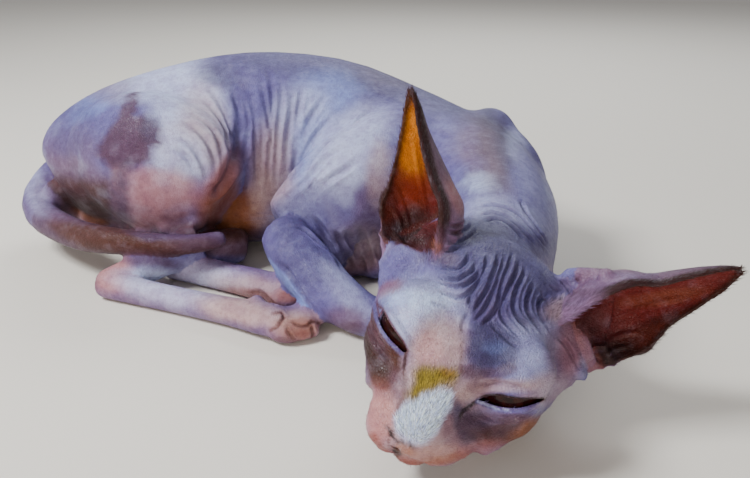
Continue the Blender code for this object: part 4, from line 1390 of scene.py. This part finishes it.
def make_down(body, paint):
    """Short fine hairs on the skin, thick on the nose, brow and round the ears, sparse everywhere else."""
    chance = np.random.default_rng(7)
    body.data.calc_loop_triangles()
    corners = values_of(body.data.loop_triangles, "vertices", 3, np.int32)
    dense, long = down_growth(paint)
    a, b, c = np.moveaxis(paint.points[corners], 1, 0)
    area = np.linalg.norm(np.cross(b - a, c - a), axis=1) / 2 / MM**2
    share = np.cumsum(area * dense[corners].mean(1))
    count = int(min(share[-1], DOWN_HAIRS))
    picked = corners[np.searchsorted(share, chance.random(count) * share[-1])]
    blend = chance.dirichlet((1, 1, 1), count)[:, :, None]
    root = (paint.points[picked] * blend).sum(1)
    up = unit((paint.ways[picked] * blend).sum(1))
    ahead = unit((down_flow(paint)[picked] * blend).sum(1)) + chance.normal(0, HAIR_STRAY, (count, 3))
    ahead = unit(ahead - up * (ahead * up).sum(1)[:, None])
    across = np.cross(up, ahead)
    length = long[picked].mean(1) * MM * chance.uniform(*HAIR_LENGTHS, count)
    lift = chance.uniform(*HAIR_LIFTS, count)
    shade = np.where(chance.random(count) < DARK_SHARE, DARK_SHADE, chance.uniform(*PALE_SHADES, count))
    shade = 1 + (shade - 1) * (0.3 + 0.7 * soft_step(dense[picked].mean(1), 3, 7))
    tint = (paint.colour[picked] * blend).sum(1) * shade[:, None]
    points = np.empty((count, len(HAIR), 3))
    for i, (x, y, z) in enumerate(HAIR):
        side = across * x * HAIR_WIDTH / 2
        points[:, i] = root + side + ahead * (y * length)[:, None] + up * (z * length * lift)[:, None]
    first = np.arange(count) * len(HAIR)
    faces = [tuple(start + i for i in face) for start in first.tolist() for face in HAIR_FACES]
    mesh = bpy.data.meshes.new("down")
    mesh.from_pydata(points.reshape(-1, 3).tolist(), [], faces)
    down = link(bpy.data.objects.new("down", mesh))
    store(mesh, "pigment_and_shading", np.repeat(np.clip(tint, 0, 1), len(HAIR), 0))
    find = layout_finder(body)
    flat = np.repeat(np.array([find(place) for place in root]), len(HAIR), 0).reshape(count, len(HAIR), 2)
    flat += np.array([(x, y - 0.5) for x, y, _ in HAIR]) * HAIR_PATCH / 2
    loops = values_of(mesh.loops, "vertex_index", 1, np.int32).ravel()
    mesh.uv_layers.new(name="OFBake").data.foreach_set("uv", flat.reshape(-1, 2)[loops].ravel())
    return down


def down_finish():
    """Soft pale hair with the tint of the skin it grows from."""
    hair = Finish(
        "fine down", Roughness=0.6, Specular_IOR_Level=0.15, Sheen_Weight=0.05, Sheen_Roughness=0.5
    )
    streak = hair.noise(0.8, 2)
    tint = hair.attribute("pigment_and_shading", "Color")
    hair.use("Base Color", hair.mixed(streak.step(0.3, 0.7) * 0.5, tint, (0.7, 0.66, 0.7, 1), "MULTIPLY"))
    return hair.material


class Link:
    """A value running through a material's nodes, with sums and products written as Python expressions."""

    def __init__(self, finish, socket):
        self.finish = finish
        self.socket = socket

    def maths(self, operation, *values):
        return self.finish.add("Math", dict(enumerate(values)), operation=operation)

    def __add__(self, other):
        return self.maths("ADD", self, other)

    def __sub__(self, other):
        return self.maths("SUBTRACT", self, other)

    def __rsub__(self, other):
        return self.maths("SUBTRACT", other, self)

    def __mul__(self, other):
        return self.maths("MULTIPLY", self, other)

    __radd__ = __add__
    __rmul__ = __mul__

    def step(self, low, high, start=0, end=1):
        """A soft step between two values of this one."""
        values = {"Value": self, "From Min": low, "From Max": high, "To Min": start, "To Max": end}
        return self.finish.add("MapRange", values, interpolation_type="SMOOTHSTEP")


class Finish:
    """A material with one Principled shader, whose constants are set on its own sockets."""

    def __init__(self, name, **constants):
        self.material = bpy.data.materials.new(name)
        self.material.use_nodes = True
        self.tree = self.material.node_tree
        self.shader = self.tree.nodes["Principled BSDF"]
        for socket, value in constants.items():
            self.shader.inputs[socket.replace("_", " ")].default_value = value

    def add(self, kind, values=(), output=0, **settings):
        """One node: its settings first, then a number, colour or link for each socket named."""
        node = self.tree.nodes.new("ShaderNode" + kind)
        for name, value in settings.items():
            setattr(node, name, value)
        for socket, value in dict(values).items():
            if isinstance(value, Link):
                self.tree.links.new(value.socket, node.inputs[socket])
            else:
                node.inputs[socket].default_value = value
        return Link(self, node.outputs[output])

    def place(self):
        return self.add("TexCoord", output="Object")

    def attribute(self, name, output="Fac"):
        return self.add("Attribute", output=output, attribute_name=name)

    def noise(self, size, detail, roughness=0.5):
        """Noise of a size in millimetres."""
        scale = 1 / (size * MM)
        values = {"Vector": self.place(), "Scale": scale, "Detail": detail, "Roughness": roughness}
        return self.add("TexNoise", values)

    def cells(self, size, feature="F1"):
        return self.add("TexVoronoi", {"Vector": self.place(), "Scale": 1 / (size * MM)}, feature=feature)

    def mixed(self, amount, one, two, blend="MIX"):
        return self.add("Mix", {0: amount, 6: one, 7: two}, output=2, data_type="RGBA", blend_type=blend)

    def use(self, socket, value):
        self.tree.links.new(value.socket, self.shader.inputs[socket])

    def bump(self, height, distance, strength):
        """Height from 0 to 1 as relief of a depth in millimetres."""
        made = self.add("Bump", {"Height": height, "Distance": distance * MM, "Strength": strength})
        self.use("Normal", made)


def skin_finish():
    """Bare skin: mottled colour, painted shade in the valleys of its folds, fine crossed wrinkles and pores
    under a soft sheen.
    """
    skin = Finish(
        "bare skin", Subsurface_Weight=0.1, Subsurface_Scale=0.003, Sheen_Weight=0.04, Sheen_Roughness=0.4,
        Specular_IOR_Level=0.32,
    )
    skin.shader.inputs["Subsurface Radius"].default_value = (1.0, 0.35, 0.25)
    skin.shader.inputs["Sheen Tint"].default_value = (0.85, 0.88, 1.0, 1)
    pigment_and_shading = skin.attribute("pigment_and_shading", "Color")
    fold = skin.attribute("fold")
    wet = skin.attribute("wet")
    blotch = skin.noise(7, 4, 0.6)
    mottle = skin.noise(2.2, 4, 0.65)
    grain = skin.noise(0.6, 2)
    tone = skin.mixed(blotch.step(0.42, 0.66) * 0.5, pigment_and_shading, (0.66, 0.55, 0.68, 1), "MULTIPLY")
    tone = skin.mixed(blotch.step(0.52, 0.3) * 0.06, tone, (0.62, 0.62, 0.84, 1), "SCREEN")
    tone = skin.mixed(mottle.step(0.4, 0.7) * 0.5, tone, (0.62, 0.52, 0.62, 1), "MULTIPLY")
    tone = skin.mixed(grain.step(0.45, 0.75) * 0.25, tone, (0.7, 0.62, 0.66, 1), "MULTIPLY")
    # Painted shade: the folds' valleys darkened towards plum brown.
    tone = skin.mixed(fold * 0.95, tone, (0.34, 0.22, 0.27, 1), "MULTIPLY")
    skin.use("Base Color", tone)
    skin.use("Roughness", mottle.step(0.2, 0.8, 0.4, 0.56) - wet * 0.25)
    crossed = skin.cells(1.1, "DISTANCE_TO_EDGE").step(0, 0.18)
    pores = skin.cells(0.55).step(0.1, 0.5)
    skin.bump(crossed * 0.55 + pores * 0.3 + mottle * 0.7, 0.28, 0.9)
    return skin.material


def eye_finish():
    """A dark wet eye, brown at its rim."""
    eye = Finish("wet dark eye", Roughness=0.12, Specular_IOR_Level=0.25)
    streaks = eye.noise(3, 4)
    brown, black = (0.03, 0.006, 0.004, 1), (0.01, 0.002, 0.002, 1)
    eye.use("Base Color", eye.mixed(streaks.step(0.3, 0.7), brown, black))
    return eye.material


def floor_finish():
    """Plain pale ground."""
    floor = Finish("pale ground", Roughness=0.8)
    floor.use("Base Color", floor.mixed(floor.noise(400, 2), (0.74, 0.69, 0.61, 1), (0.77, 0.72, 0.64, 1)))
    return floor.material


# The cornea's edge, as the cosine of its half angle, and its height as a share of the eye's radius.
CORNEA_EDGE = 0.82
CORNEA_HEIGHT = 0.018


def eyeball(side):
    """The eye itself: a smooth ball with a slightly fuller cornea, turned to the opening of its lids."""
    bm = bmesh.new()
    centre = HEAD @ Vector((EYE_HALF_SPAN * MIRROR[side], -EYE_BACK, 0))
    bmesh.ops.create_icosphere(bm, subdivisions=5, radius=EYE_RADIUS * MM)
    look = -world_ray(*np.mean(EYE_OPENINGS[side], axis=0))
    for v in bm.verts:
        ahead = v.co.normalized().dot(look)
        v.co *= 1 + CORNEA_HEIGHT * max(0, (ahead - CORNEA_EDGE) / (1 - CORNEA_EDGE)) ** 0.7
        v.co += centre
    made = object_from(bm, side + "_eye")
    for polygon in made.data.polygons:
        polygon.use_smooth = True
    return made


def lamp(name, place, target, width, height, power, colour=(1, 1, 1)):
    light = bpy.data.lights.new(name, "AREA")
    light.shape = "RECTANGLE"
    light.size = width
    light.size_y = height
    light.energy = power
    light.color = colour
    made = link(bpy.data.objects.new(name, light))
    made.location = place
    made.rotation_euler = (Vector(target) - Vector(place)).to_track_quat("-Z", "Y").to_euler()


def studio():
    """A pale floor, soft light from above and the left, and the photograph's camera."""
    bm = bmesh.new()
    bmesh.ops.create_grid(bm, x_segments=2, y_segments=2, size=3)
    floor = object_from(bm, "floor")
    floor.data.materials.append(floor_finish())
    lamp("key", (-0.62, -0.2, 0.8), (0, 0, 0.04), 0.3, 0.3, 14, (0.94, 0.97, 1))
    lamp("back", (0.2, 0.8, 0.7), (0, 0, 0.05), 0.7, 0.4, 6, (0.9, 0.95, 1))
    lamp("fill", (-0.15, -1.1, 0.32), (0, 0, 0.04), 0.9, 0.4, 7.5, (1, 0.91, 0.8))
    world = bpy.data.worlds.new("studio")
    bpy.context.scene.world = world
    world.use_nodes = True
    world.node_tree.nodes["Background"].inputs["Color"].default_value = (0.93, 0.94, 1, 1)
    world.node_tree.nodes["Background"].inputs["Strength"].default_value = 0.3
    lens = bpy.data.cameras.new("camera")
    lens.sensor_width = SENSOR_MM
    lens.lens = LENS_PX / IMAGE[0] * SENSOR_MM
    camera = link(bpy.data.objects.new("camera", lens))
    camera.location = CAMERA
    camera.rotation_euler = (math.pi / 2 - TILT, 0, 0)
    bpy.context.scene.camera = camera


def main():
    body, folds = make_skin()
    down = make_down(body, dress(body, folds))
    down.data.materials.append(down_finish())
    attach(down, "root")
    body.data.materials.clear()
    body.data.materials.append(skin_finish())
    body.name = "skin"
    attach(body, "root")
    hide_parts(*FLESH)
    wet = eye_finish()
    for side in MIRROR:
        ball_of_eye = eyeball(side)
        ball_of_eye.data.materials.append(wet)
        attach(ball_of_eye, "root")
        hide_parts("eye_" + side)
    studio()


main()
